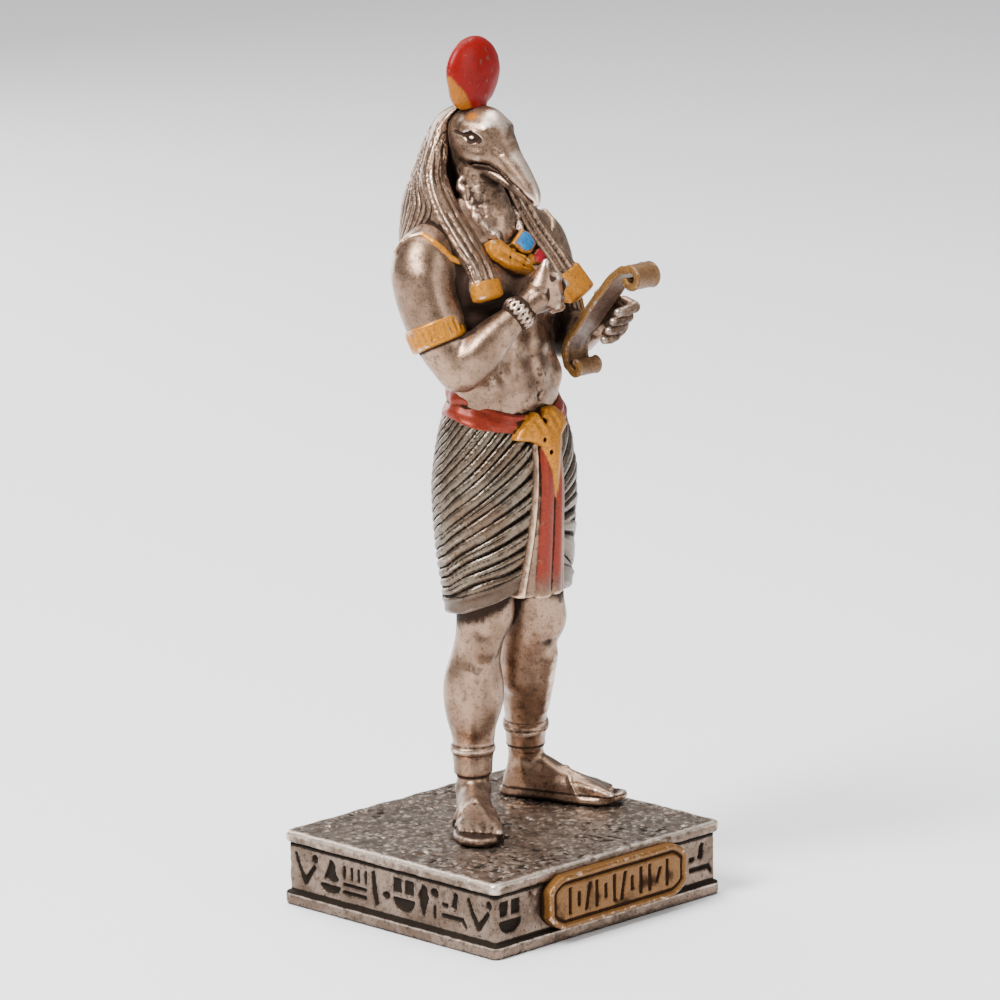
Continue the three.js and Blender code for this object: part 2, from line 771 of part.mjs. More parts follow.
function head() {
  return union([
    limb(neckRows, 8, front, { steps: 1 }),
    limb(headRows, 12, V(0, -0.3, 1), { steps: 1, wave: brow }),
    limb(lowerBeakRows, 6, V(0, 0, 1), { steps: 1 }),
    lump([-eyeSide, 1.1, 67.3], [0.45, 0.75, 0.42], [0, 0, 20], 6, 4),
    lump([eyeSide, 1.1, 67.3], [0.45, 0.75, 0.42], [0, 0, -20], 6, 4),
  ]);
}

// The wig: rows of [middle y, height, half width, half depth, half angle covered from the back]

const wigRows = [
  [3.3, 70.1, 1.0, 1.1, 100],
  [3.7, 69.1, 2.4, 2.7, 100],
  [4.0, 67.6, 3.4, 3.6, 100],
  [4.3, 65.5, 4.2, 4.2, 104],
  [4.3, 63.2, 5.2, 4.9, 106],
  [4.3, 61.0, 6.1, 5.5, 124],
  [4.3, 59.0, 6.5, 5.7, 116],
  [4.3, 57.0, 6.7, 5.7, 98],
  [4.3, 54.6, 6.6, 5.2, 88],
  [4.3, 52.2, 6.4, 4.8, 82],
];

const wigLocks = 14;
const lockDepth = 0.32;

function wig() {
  const rings = smoothRows(wigRows, 1).map(([y, z, wide, deep, cover]) => {
    const ring = [];
    const count = wigLocks * 2;
    for (let i = 0; i <= count; i += 1) {
      const angle = THREE.MathUtils.degToRad(-cover + (2 * cover * i) / count);
      const out = i % 2 === 0 ? -lockDepth : 0;
      ring.push(V(Math.sin(angle) * (wide + out), y + Math.cos(angle) * (deep + out), z));
    }
    const reach = wide * 0.45;
    const chord = y + Math.cos(THREE.MathUtils.degToRad(cover)) * deep * 0.6 + 0.6;
    ring.push(V(reach, chord, z), V(-reach, chord, z));
    return ring;
  });
  return solid(skin(rings));
}

const lappetLocks = 3;
const bandProud = 0.2;

// One of the two locks of the wig that fall over the chest, with its gold end band
function lappet(side, rows) {
  const placed = rows.map(([x, ...rest]) => [side * x, ...rest]);
  const end = placed.pop();
  const before = placed[placed.length - 1];
  const bandStart = end.map((v, c) => THREE.MathUtils.lerp(v, before[c], 0.5));
  const bandEdge = end.map((v, c) => THREE.MathUtils.lerp(v, before[c], 0.46));
  const grown = ([x, y, z, wide, deep]) => [x, y, z, wide + bandProud, deep + bandProud];
  placed.push(bandStart, grown(bandEdge), grown(end));
  const lockEnd = (placed.length - 2.5) / (placed.length - 1);
  const locks = (angle, share) => {
    if (share > lockEnd || Math.sin(angle) <= 0) return 1;
    return 1 + 0.09 * Math.cos(angle * lappetLocks * 2);
  };
  return limb(placed, 4 * lappetLocks, V(0, -1, 0.25), { steps: 1, power: 2.6, wave: locks });
}

const nearLappetRows = [
  [2.6, 4.6, 68.3, 0.4, 0.5],
  [3.6, 4.3, 66.0, 0.9, 0.9],
  [4.3, 4.1, 63.6, 1.2, 1.05],
  [4.6, 2.5, 60.6, 1.45, 1.15],
  [4.5, 0.2, 57.8, 1.5, 1.1],
  [4.35, -1.9, 55.4, 1.45, 0.95],
  [4.35, -2.8, 53.3, 1.45, 0.85],
];

const farLappetRows = [
  [2.6, 4.6, 68.3, 0.4, 0.5],
  [3.5, 4.0, 66.0, 0.9, 0.9],
  [3.6, 2.6, 63.4, 1.3, 1.1],
  [3.6, 0.9, 60.4, 1.45, 1.15],
  [4.1, -0.8, 57.8, 1.5, 1.05],
  [5.0, -2.6, 55.2, 1.5, 0.95],
  [5.8, -3.5, 52.8, 1.55, 0.85],
];

// The sun disc, a lens that stands on the crown and faces forward

const discHalfThickness = 1.4;
const discMiddle = 3.0;
const crownHeight = 68.8;
const stemInDisc = 0.4;

function disc() {
  const profile = [];
  const steps = 6;
  for (let i = 0; i <= steps; i += 1) {
    const angle = (Math.PI * i) / steps;
    const r = i === 0 || i === steps ? 0 : Math.sin(angle) * discRadius;
    profile.push(new THREE.Vector2(r, -Math.cos(angle) * discHalfThickness));
  }
  const lens = new THREE.LatheGeometry(profile, 15);
  lens.translate(0, discMiddle, discCentre);
  const stemRise = discCentre - discRadius + stemInDisc - crownHeight;
  const stem = band([0, discMiddle, crownHeight], [0, 0], [[0, 1.6], [stemRise, 1.4]]);
  return solid(lens).add(stem);
}

function figure() {
  const body = union([
    legs(),
    torso(),
    kilt(),
    sash(beltLower, (a) => beltLower(a) + beltHeight, beltProud),
    apron(),
    buckle(),
    arms(),
    collar(),
    head(),
    wig(),
    lappet(-1, nearLappetRows),
    lappet(1, farLappetRows),
    disc(),
  ]);
  const geometry = geometryOf(body);
  geometry.scale(part, part, part);
  const mesh = new THREE.Mesh(geometry, bronze);
  mesh.name = 'figure';
  mesh.position.z = plinthHeight;
  return mesh;
}

// Plinth with its frieze of sunk marks

function slabRing(z, inset) {
  const x = plinthWidth / 2 - inset;
  const y = plinthDepth / 2 - inset;
  const c = cornerRound;
  return [
    V(x, -y + c, z), V(x, y - c, z), V(x - c, y, z), V(-x + c, y, z),
    V(-x, y - c, z), V(-x, -y + c, z), V(-x + c, -y, z), V(x - c, -y, z),
  ];
}

const friezeTop = plinthHeight - topSlabHeight;
const friezeHeight = friezeTop - footSlabHeight;

// Simple sunk marks, drawn in a unit square. They stand for an inscription and spell nothing.
function bar(x0, y0, x1, y1) {
  return new THREE.Shape([
    new THREE.Vector2(x0, y0), new THREE.Vector2(x1, y0),
    new THREE.Vector2(x1, y1), new THREE.Vector2(x0, y1),
  ]);
}

function oval(x, y, rx, ry) {
  const shape = new THREE.Shape();
  shape.absellipse(x, y, rx, ry, 0, 2 * Math.PI);
  return shape;
}

function bowl(x, y, r) {
  const shape = new THREE.Shape();
  shape.absarc(x, y, r, Math.PI, 2 * Math.PI);
  return shape;
}

function blade(x, y, width, height) {
  const shape = new THREE.Shape();
  shape.moveTo(x, y);
  shape.quadraticCurveTo(x - width, y + height * 0.6, x, y + height);
  shape.quadraticCurveTo(x + width, y + height * 0.5, x, y);
  return shape;
}

const markKinds = [
  () => [bar(0.05, 0.62, 0.9, 0.95), bowl(0.48, 0.5, 0.42)],
  () => [bar(0.1, 0.1, 0.24, 0.95), bar(0.36, 0.3, 0.92, 0.48)],
  () => [oval(0.3, 0.6, 0.2, 0.28), bar(0.68, 0.1, 0.84, 0.9)],
  () => [blade(0.45, 0.05, 0.35, 0.9)],
  () => [bar(0.05, 0.78, 0.95, 0.93), bar(0.16, 0.1, 0.34, 0.66), bar(0.66, 0.1, 0.84, 0.66)],
];

function markCuts(kind, size) {
  return markKinds[kind]().map((shape) => {
    const cut = new THREE.ExtrudeGeometry(shape, {
      depth: 2 * markDepth, bevelEnabled: false, curveSegments: 3,
    });
    return cut.scale(size, size, 1);
  });
}

// Marks along one side of the frieze, laid out in the side's own plane and then turned into place.
// The name plate covers the ones that would fall behind it.
function friezeMarks(length, distance, turn, count, first, covered) {
  const size = friezeHeight - 2 * markMargin;
  const start = markMargin + friezeRecess;
  const pitch = (length - 2 * start) / count;
  const cuts = [];
  for (let i = 0; i < count; i += 1) {
    const middle = -length / 2 + start + pitch * (i + 0.5);
    if (Math.abs(middle - plateShift) < covered) continue;
    for (const cut of markCuts((i + first) % markKinds.length, size)) {
      cut.translate(middle - size / 2, footSlabHeight + markMargin, distance - friezeRecess - markDepth);
      cut.rotateX(Math.PI / 2);
      cut.rotateZ(turn);
      cuts.push(cut);
    }
  }
  return cuts;
}

// Outline of the name plate, an oblong with its corners cut back, grown or shrunk by an inset
function plateOutline(inset) {
  const x = plateWidth / 2 - inset;
  const y = plateHeight / 2 - inset;
  const cutX = 0.36 * plateHeight;
  const cutY = 0.26 * plateHeight;
  const shape = new THREE.Shape();
  shape.moveTo(-x + cutX, -y);
  shape.lineTo(x - cutX, -y);
  shape.quadraticCurveTo(x - cutX * 0.25, -y + cutY * 0.35, x, -y + cutY);
  shape.lineTo(x, y - cutY);
  shape.quadraticCurveTo(x - cutX * 0.25, y - cutY * 0.35, x - cutX, y);
  shape.lineTo(-x + cutX, y);
  shape.quadraticCurveTo(-x + cutX * 0.25, y - cutY * 0.35, -x, y - cutY);
  shape.lineTo(-x, -y + cutY);
  shape.quadraticCurveTo(-x + cutX * 0.25, -y + cutY * 0.35, -x + cutX, -y);
  return shape;
}

const plateMiddle = footSlabHeight + plateHeight / 2;
const plateBack = -plinthDepth / 2;

// Stands a flat extruded shape up against the front, its depth running towards -Y from a plane
function onFront(geometry, plane) {
  geometry.rotateX(Math.PI / 2);
  geometry.translate(plateShift, plane, plateMiddle);
  return geometry;
}

function plinth() {
  const r = slabRound;
  let body = solid(skin([
    slabRing(0, r), slabRing(r, 0), slabRing(footSlabHeight - r, 0), slabRing(footSlabHeight, r),
    slabRing(footSlabHeight + 0.01, friezeRecess), slabRing(friezeTop - 0.01, friezeRecess),
    slabRing(friezeTop, r), slabRing(friezeTop + r, 0),
    slabRing(plinthHeight - r, 0), slabRing(plinthHeight, r),
  ]));
  const pad = new THREE.ExtrudeGeometry(plateOutline(padClearance), {
    depth: 2 * friezeRecess, bevelEnabled: false, curveSegments: 3,
  });
  onFront(pad, plateBack + 2 * friezeRecess);
  const behindPlate = plateWidth / 2 + friezeHeight / 2 - markMargin;
  const sides = [
    [plinthWidth, plinthDepth / 2, 0, marksOnFront, 0, behindPlate],
    [plinthDepth, plinthWidth / 2, Math.PI / 2, marksOnSide, 2, 0],
    [plinthWidth, plinthDepth / 2, Math.PI, marksOnBack, 1, 0],
    [plinthDepth, plinthWidth / 2, -Math.PI / 2, marksOnSide, 3, 0],
  ];
  for (const side of sides) {
    for (const cut of friezeMarks(...side)) body = body.subtract(solid(cut));
  }
  body = body.add(solid(pad));
  const mesh = new THREE.Mesh(geometryOf(body), darkBronze);
  mesh.name = 'plinth';
  return mesh;
}

// Upright and leaning strokes stand in for a name and spell nothing
function plateMarks() {
  const field = plateWidth - 2 * plateRim - 2 * plateGroove - 0.5 * plateHeight;
  const pitch = field / plateStrokes;
  const tall = plateHeight - 2 * plateRim - 2 * plateGroove - 0.9;
  const strokes = [];
  for (let i = 0; i < plateStrokes; i += 1) {
    const x = -field / 2 + pitch * (i + 0.5);
    const height = i % 3 === 1 ? tall * 0.55 : tall;
    const lean = i % 4 === 2 ? 0.28 : 0;
    const w = pitch * 0.2;
    strokes.push(new THREE.Shape([
      new THREE.Vector2(x - w - lean, -height / 2), new THREE.Vector2(x + w - lean, -height / 2),
      new THREE.Vector2(x + w + lean, height / 2), new THREE.Vector2(x - w + lean, height / 2),
    ]));
  }
  return strokes;
}

function namePlate() {
  const flat = (shape, depth) => (
    new THREE.ExtrudeGeometry(shape, { depth, bevelEnabled: false, curveSegments: 3 })
  );
  const ring = solid(flat(plateOutline(plateRim), plateEngraving * 2))
    .subtract(solid(flat(plateOutline(plateRim + plateGroove), plateEngraving * 2)));
  const groove = new THREE.BufferGeometry().copy(geometryOf(ring));
  const face = plateBack - plateThickness + plateEngraving;
  let body = solid(onFront(flat(plateOutline(0), plateThickness), plateBack));
  body = body.subtract(solid(onFront(groove, face)));
  for (const stroke of plateMarks()) {
    body = body.subtract(solid(onFront(flat(stroke, plateEngraving * 2), face)));
  }
  const mesh = new THREE.Mesh(geometryOf(body), paintedGold);
  mesh.name = 'name_plaque';
  return mesh;
}

const model = new THREE.Group();
model.add(plinth(), namePlate(), figure());

export default model;
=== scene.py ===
# A small cast and hand-painted ornament: an ibis-headed deity with a scroll, on an inscribed plinth.
# The forms are blocks of signed distances, in parts of the figure's height, meshed and then painted.
import math

import bmesh
import bpy
import numpy as np
from mathutils import Matrix, Vector


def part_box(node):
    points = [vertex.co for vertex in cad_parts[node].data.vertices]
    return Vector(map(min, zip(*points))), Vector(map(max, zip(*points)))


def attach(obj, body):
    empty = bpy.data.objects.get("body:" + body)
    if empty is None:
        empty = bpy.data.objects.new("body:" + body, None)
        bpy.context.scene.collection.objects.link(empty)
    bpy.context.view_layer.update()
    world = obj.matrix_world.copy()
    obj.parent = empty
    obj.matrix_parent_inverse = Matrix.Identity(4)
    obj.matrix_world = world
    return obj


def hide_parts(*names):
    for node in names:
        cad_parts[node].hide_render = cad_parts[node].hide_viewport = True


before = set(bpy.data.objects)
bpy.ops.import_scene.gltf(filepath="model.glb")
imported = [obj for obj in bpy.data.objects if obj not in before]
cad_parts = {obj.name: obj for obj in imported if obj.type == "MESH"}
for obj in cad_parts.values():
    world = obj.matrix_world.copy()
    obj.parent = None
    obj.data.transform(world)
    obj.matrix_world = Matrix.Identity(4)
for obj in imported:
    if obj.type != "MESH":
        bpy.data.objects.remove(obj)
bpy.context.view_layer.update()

# The frame's boxes in millimetres, and the size of one part

MM = 0.001
plinth_high, figure_high = (np.array(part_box(node)[1]) / MM for node in ("plinth", "figure"))
plaque_low, plaque_high = (np.array(corner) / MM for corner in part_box("name_plaque"))
PARTS_HIGH = 76.5
PART = (figure_high[2] - plinth_high[2]) / PARTS_HIGH
DECK = plinth_high[2]


# Blocks of signed distances

FAR = 9.0
MARGIN = 0.45


def smooth_min(a, b, k):
    k = np.maximum(k, 1e-4)
    h = np.clip(k - np.abs(a - b), 0, None) / k
    return np.minimum(a, b) - h * h * (k * 0.25)


def smooth_max(a, b, k):
    return -smooth_min(-a, -b, k)


def step_up(x, low, high):
    t = np.clip((x - low) / (high - low), 0, 1)
    return t * t * (3 - 2 * t)


def bell(x, width):
    """1 where x is zero, falling to nothing on both sides."""
    return np.exp(-(x / width) ** 2)


def at_both_ends(share, width):
    """A bell at each end of a share from 0 to 1."""
    return bell(share, width) + bell(1 - share, width)


def unit(way):
    return way / np.linalg.norm(way)


class Form:
    """A shape given by its box and by a field of x, y and z that is negative inside it."""

    def __init__(self, low, high, field):
        self.low = np.array(low, float)
        self.high = np.array(high, float)
        self.field = field

    def distance(self, x, y, z):
        return np.asarray(self.field(x, y, z), np.float32)

    def reach(self, blend):
        """The box in which the form can change what it is joined to."""
        return self.low - blend - MARGIN, self.high + blend + MARGIN


class Block:
    """Signed distances on a regular grid of points."""

    def __init__(self, low, high, step):
        self.low = np.array(low, float)
        self.step = step
        self.shape = [int(math.ceil((b - a) / self.step)) + 1 for a, b in zip(low, high)]
        self.value = np.full(self.shape, FAR, np.float32)

    def window(self, low, high):
        """The slices that a box covers, and its open coordinate lines."""
        spans = []
        lines = []
        for k in range(3):
            first = int(math.floor((low[k] - self.low[k]) / self.step))
            last = int(math.ceil((high[k] - self.low[k]) / self.step)) + 1
            first = min(max(first, 0), self.shape[k])
            last = min(max(last, first), self.shape[k])
            spans.append(slice(first, last))
            line = self.low[k] + self.step * np.arange(first, last)
            lines.append(line.astype(np.float32).reshape([-1 if n == k else 1 for n in range(3)]))
        return tuple(spans), lines

    def change(self, low, high, change):
        """Gives the values inside a box anew, from what they are and from x, y and z."""
        spans, lines = self.window(low, high)
        if all(line.size for line in lines):
            self.value[spans] = change(self.value[spans], *lines)

    def join(self, form, blend=0.0):
        self.change(*form.reach(blend), lambda value, *at: smooth_min(value, form.distance(*at), blend))

    def cut(self, form, blend=0.0):
        self.change(*form.reach(blend), lambda value, *at: smooth_max(value, -form.distance(*at), blend))

    def join_all(self, forms):
        """Joins a list of forms, each with its blend."""
        for form, blend in forms:
            self.join(form, blend)

    def emboss(self, low, high, rise):
        """Raises the surface inside a box by a function of x, y and z."""
        self.change(low, high, lambda value, *at: value - np.asarray(rise(*at), np.float32))


# Forms

def smooth_rows(rows, steps):
    """Rows of numbers, with a smooth curve drawn through each column."""
    rows = np.array(rows, float)
    padded = np.vstack([rows[0], rows, rows[-1]])
    out = []
    for i in range(1, len(padded) - 2):
        a, b, c, d = padded[i - 1:i + 3]
        for t in np.arange(steps) / steps:
            bend = (2 * a - 5 * b + 4 * c - d) * t * t + (3 * b - a - 3 * c + d) * t ** 3
            out.append(0.5 * (2 * b + (c - a) * t + bend))
    out.append(rows[-1])
    return np.array(out)


def turned(degrees):
    """A rotation matrix from Euler angles in degrees."""
    a, b, c = (math.radians(d) for d in degrees)
    rx = np.array([[1, 0, 0], [0, math.cos(a), -math.sin(a)], [0, math.sin(a), math.cos(a)]])
    ry = np.array([[math.cos(b), 0, math.sin(b)], [0, 1, 0], [-math.sin(b), 0, math.cos(b)]])
    rz = np.array([[math.cos(c), -math.sin(c), 0], [math.sin(c), math.cos(c), 0], [0, 0, 1]])
    return rx @ ry @ rz


def ball(centre, half, turn=(0, 0, 0)):
    """An ellipsoid with its own half sizes and turn."""
    m = turned(turn).astype(np.float32)
    centre = np.array(centre, float)
    reach = max(half)

    def distance(x, y, z):
        dx, dy, dz = x - np.float32(centre[0]), y - np.float32(centre[1]), z - np.float32(centre[2])
        share = 0
        for k in range(3):
            share = share + ((dx * m[0, k] + dy * m[1, k] + dz * m[2, k]) / np.float32(half[k])) ** 2
        share = np.sqrt(share) + 1e-4
        return np.sqrt(dx * dx + dy * dy + dz * dz) * (1 - 1 / share)

    return Form(centre - reach, centre + reach, distance)


def rod(a, b, ra, rb=None):
    """A round rod with its own radius at each end."""
    rb = ra if rb is None else rb
    a, b = np.array(a, float), np.array(b, float)
    along = b - a
    square = float(along @ along)

    def distance(x, y, z):
        t = ((x - a[0]) * along[0] + (y - a[1]) * along[1] + (z - a[2]) * along[2]) / square
        t = np.clip(t, 0, 1).astype(np.float32)
        dx, dy, dz = x - a[0] - t * along[0], y - a[1] - t * along[1], z - a[2] - t * along[2]
        return np.sqrt(dx * dx + dy * dy + dz * dz).astype(np.float32) - (ra + (rb - ra) * t)

    reach = max(ra, rb)
    return Form(np.minimum(a, b) - reach, np.maximum(a, b) + reach, distance)


def sweep(rows, front, steps=4, power=2.0, relief=None, cap=0.9):
    """A drawn-out form: rows of [x, y, z, half width, half depth] and the way its front looks.
    relief raises the surface by a function of the angle round it and the share along it."""
    rows = smooth_rows([row if len(row) == 5 else [*row, row[3]] for row in rows], steps)
    middle = rows[:, :3]
    front = np.array(front, float)
    count = len(rows) - 1
    frames = []
    for j in range(count):
        along = middle[min(j + 2, count)] - middle[max(j - 1, 0)]
        along /= np.linalg.norm(along)
        side = np.cross(along, front)
        side /= np.linalg.norm(side)
        frames.append((side, np.cross(side, along), along))

    def segment(j, x, y, z):
        start, way = middle[j], middle[j + 1] - middle[j]
        t = ((x - start[0]) * way[0] + (y - start[1]) * way[1] + (z - start[2]) * way[2])
        t = np.clip(t / float(way @ way), 0, 1).astype(np.float32)
        dx = x - start[0] - t * np.float32(way[0])
        dy = y - start[1] - t * np.float32(way[1])
        dz = z - start[2] - t * np.float32(way[2])
        wide = rows[j, 3] + t * np.float32(rows[j + 1, 3] - rows[j, 3])
        deep = rows[j, 4] + t * np.float32(rows[j + 1, 4] - rows[j, 4])
        s, o, h = (dx * np.float32(v[0]) + dy * np.float32(v[1]) + dz * np.float32(v[2]) for v in frames[j])
        s, o = s / wide, o / deep
        h = h / (np.minimum(wide, deep) * cap)
        if power == 2:
            share = np.sqrt(s * s + o * o + h * h) + 1e-4
        else:
            share = (np.abs(s) ** power + np.abs(o) ** power + np.abs(h) ** power) ** (1 / power) + 1e-4
        d = np.sqrt(dx * dx + dy * dy + dz * dz) * (1 - 1 / share)
        if relief is not None:
            d = d - relief(np.arctan2(o, s), (j + t) / count)
        return d.astype(np.float32)

    reach = rows[:, 3:].max(1)
    low = (middle - reach[:, None]).min(0)
    high = (middle + reach[:, None]).max(0)

    def distance(x, y, z):
        shape = np.broadcast_shapes(x.shape, y.shape, z.shape)
        best = np.full(shape, FAR, np.float32)
        open_lines = len(shape) == 3
        for j in range(count):
            if not open_lines:
                best = np.minimum(best, segment(j, x, y, z))
                continue
            wide = max(reach[j], reach[j + 1])
            room = wide * np.sqrt(np.clip(1 - frames[j][2] ** 2, 0, 1)) + MARGIN + 0.9
            first = np.minimum(middle[j], middle[j + 1]) - room
            last = np.maximum(middle[j], middle[j + 1]) + room
            spans = []
            for k, line in enumerate((x, y, z)):
                flat = line.ravel()
                spans.append(slice(*(int(np.searchsorted(flat, end[k])) for end in (first, last))))
            if any(s.start >= s.stop for s in spans):
                continue
            cell = segment(j, x[spans[0]], y[:, spans[1]], z[:, :, spans[2]])
            best[tuple(spans)] = np.minimum(best[tuple(spans)], cell)
        return best

    return Form(low, high, distance)


def hashed(i, j, k, seed):
    """A repeatable number from 0 to 1 for each lattice point."""
    n = (i * 374761393 + j * 668265263 + k * 2147483647 + seed * 144269504) & 0xFFFFFFFF
    with np.errstate(over="ignore"):
        n = ((n ^ (n >> 13)) * 1274126177) & 0xFFFFFFFF
        n = ((n ^ (n >> 16)) * 2246822519) & 0xFFFFFFFF
    return ((n ^ (n >> 15)) & 0xFFFF).astype(np.float32) / 65535.0


def noise(x, y, z, seed=0, scale=1.0):
    """Smooth repeatable noise from -1 to 1, with so many lumps to a unit."""
    x, y, z = np.broadcast_arrays(x * scale, y * scale, z * scale)
    ix, iy, iz = (np.floor(v).astype(np.int64) for v in (x, y, z))
    fx, fy, fz = (v - i for v, i in zip((x, y, z), (ix, iy, iz)))
    fx, fy, fz = (f * f * (3 - 2 * f) for f in (fx, fy, fz))
    total = 0
    for a in (0, 1):
        for b in (0, 1):
            for c in (0, 1):
                weight = (fx if a else 1 - fx) * (fy if b else 1 - fy) * (fz if c else 1 - fz)
                total = total + weight * hashed(ix + a, iy + b, iz + c, seed)
    return (total * 2 - 1).astype(np.float32)


def line_distance(y, z, points):
    """Distance in a plane from a chain of points, and the share along it."""
    best = None
    share = None
    points = np.array(points, float)
    lengths = np.hypot(*(points[1:] - points[:-1]).T)
    gone = np.concatenate([[0], np.cumsum(lengths)]) / lengths.sum()
    for i in range(len(points) - 1):
        ay, az = points[i]
        vy, vz = points[i + 1] - points[i]
        t = np.clip(((y - ay) * vy + (z - az) * vz) / (vy * vy + vz * vz), 0, 1)
        d = np.hypot(y - ay - t * vy, z - az - t * vz)
        s = gone[i] + (gone[i + 1] - gone[i]) * t
        if best is None:
            best, share = d, s
        else:
            share = np.where(d < best, s, share)
            best = np.minimum(best, d)
    return best.astype(np.float32), share.astype(np.float32)


def outline_distance(x, z, points):
    """Signed distance in a plane from a closed outline, negative inside it."""
    best = FAR * FAR
    sign = 1.0
    for i in range(len(points)):
        ax, az = points[i]
        bx, bz = points[i - 1]
        ex, ez = bx - ax, bz - az
        wx, wz = x - ax, z - az
        t = np.clip((wx * ex + wz * ez) / (ex * ex + ez * ez), 0, 1)
        best = np.minimum(best, (wx - ex * t) ** 2 + (wz - ez * t) ** 2)
        above, below = z >= az, z < bz
        left = ex * wz > ez * wx
        flip = (above & below & left) | (~above & ~below & ~left)
        sign = np.where(flip, -sign, sign)
    return (sign * np.sqrt(best)).astype(np.float32)


# Meshing

CORNERS = [(0, 0, 0), (1, 0, 0), (0, 1, 0), (1, 1, 0), (0, 0, 1), (1, 0, 1), (0, 1, 1), (1, 1, 1)]
EDGES = [(0, 1), (2, 3), (4, 5), (6, 7), (0, 2), (1, 3), (4, 6), (5, 7), (0, 4), (1, 5), (2, 6), (3, 7)]


def surface_of(block):
    """Points and quads of the surface where a block's distances change sign."""
    value = block.value
    inside = value < 0
    nx, ny, nz = value.shape
    total = np.zeros((nx - 1, ny - 1, nz - 1), np.uint8)
    for a, b, c in CORNERS:
        total += inside[a:nx - 1 + a, b:ny - 1 + b, c:nz - 1 + c]
    mixed = (total > 0) & (total < 8)
    cells = np.argwhere(mixed)
    number = np.full(mixed.shape, -1, np.int64)
    number[mixed] = np.arange(len(cells))
    at = [value[cells[:, 0] + a, cells[:, 1] + b, cells[:, 2] + c] for a, b, c in CORNERS]
    place = np.zeros((len(cells), 3))
    hits = np.zeros(len(cells))
    for p, q in EDGES:
        crossing = (at[p] < 0) != (at[q] < 0)
        t = at[p][crossing] / (at[p][crossing] - at[q][crossing])
        start, way = np.array(CORNERS[p], float), np.subtract(CORNERS[q], CORNERS[p])
        place[crossing] += start + t[:, None] * way
        hits[crossing] += 1
    points = block.low + block.step * (cells + place / hits[:, None])
    quads = []
    for axis in range(3):
        u, v = (axis + 1) % 3, (axis + 2) % 3
        spans = [slice(1, -1)] * 3
        ahead = [slice(1, -1)] * 3
        spans[axis], ahead[axis] = slice(0, -1), slice(1, None)
        here, there = inside[tuple(spans)], inside[tuple(ahead)]
        edge = np.argwhere(here != there)
        out = here[tuple(edge.T)]
        edge[:, u] += 1
        edge[:, v] += 1
        ring = []
        for du, dv in ((-1, -1), (0, -1), (0, 0), (-1, 0)):
            cell = edge.copy()
            cell[:, u] += du
            cell[:, v] += dv
            ring.append(number[tuple(cell.T)])
        ring = np.stack(ring, 1)
        ring[~out] = ring[~out][:, ::-1]
        quads.append(ring)
    return points, np.concatenate(quads)


def edges_of(points, quads):
    """Where each quad's edges start and end, and how many start at each point."""
    start = quads.ravel()
    end = np.roll(quads, -1, axis=1).ravel()
    return start, end, np.maximum(np.bincount(start, minlength=len(points)), 1)


def neighbour_mean(points, start, end, near):
    return np.stack([np.bincount(start, points[end, k], len(points)) / near for k in range(3)], 1)


def relaxed(points, quads, passes, share=0.5):
    """Points drawn towards the middle of their neighbours."""
    edges = edges_of(points, quads)
    for _ in range(passes):
        points = points + share * (neighbour_mean(points, *edges) - points)
    return points


def normals_of(points, quads):
    a, b, c, d = (points[quads[:, k]] for k in range(4))
    face = np.cross(c - a, d - b)
    total = np.zeros_like(points)
    for k in range(3):
        for corner in range(4):
            total[:, k] += np.bincount(quads[:, corner], face[:, k], len(points))
    return total / np.maximum(np.linalg.norm(total, axis=1, keepdims=True), 1e-12)


# How deep a point lies in the carving: the share of solid round it at three reaches

HOLLOW_STEP = 0.22
hollow = Block([-17, -16.5, -8.4], [17, 16.5, 78], HOLLOW_STEP)
hollow.value[:] = 0


def note_solid(block, shift=(0, 0, 0)):
    """Adds a block's solid to the grid of what is filled."""
    low = block.low + shift
    high = low + block.step * (np.array(block.shape) - 1)
    spans, lines = hollow.window(low, high)
    places = []
    for k in range(3):
        index = np.rint((lines[k].ravel() - low[k]) / block.step).astype(int)
        places.append(np.clip(index, 0, block.shape[k] - 1))
    filled = np.clip(0.5 - block.value[np.ix_(*places)] / hollow.step, 0, 1)
    hollow.value[spans] = np.maximum(hollow.value[spans], filled)


def note_box(low, high):
    spans, _ = hollow.window(low, high)
    hollow.value[spans] = 1


def blurred(value, radius):
    """Three box blurs in a row, close to a bell-shaped one."""
    size = 2 * radius + 1
    for axis in range(3):
        for _ in range(3):
            pad = [(0, 0)] * 3
            pad[axis] = (radius + 1, radius)
            total = np.cumsum(np.pad(value, pad, mode="edge"), axis=axis, dtype=np.float64)
            top = [slice(None)] * 3
            low = [slice(None)] * 3
            top[axis], low[axis] = slice(size, None), slice(None, -size)
            value = ((total[tuple(top)] - total[tuple(low)]) / size).astype(np.float32)
    return value


def sampled(value, points, grid=None):
    """A grid's value at scattered points, from the eight grid points round each."""
    grid = grid or hollow
    place = (points - grid.low) / grid.step
    place = np.clip(place, 0, np.array(value.shape) - 1.001)
    base = place.astype(int)
    f = place - base
    total = 0
    for a, b, c in CORNERS:
        weight = 1
        for k, bit in enumerate((a, b, c)):
            weight = weight * (f[:, k] if bit else 1 - f[:, k])
        total = total + weight * value[base[:, 0] + a, base[:, 1] + b, base[:, 2] + c]
    return total


def settled(points, block, lift):
    """Points moved square to a block's surface until they lie a little way above it."""
    places = np.array(points, float)
    for _ in range(8):
        d = sampled(block.value, places, block)
        slope = np.stack([sampled(block.value, places + 0.1 * way, block) - d for way in np.eye(3)], 1) / 0.1
        slope /= np.linalg.norm(slope, axis=1, keepdims=True) + 1e-6
        places = places + 0.8 * (lift - d)[:, None] * slope
    return places


# Paint colours, as they look, turned to linear light

def linear(red, green, blue):
    parts = np.array([red, green, blue]) / 255.0
    return np.where(parts <= 0.04045, parts / 12.92, ((parts + 0.055) / 1.055) ** 2.4)


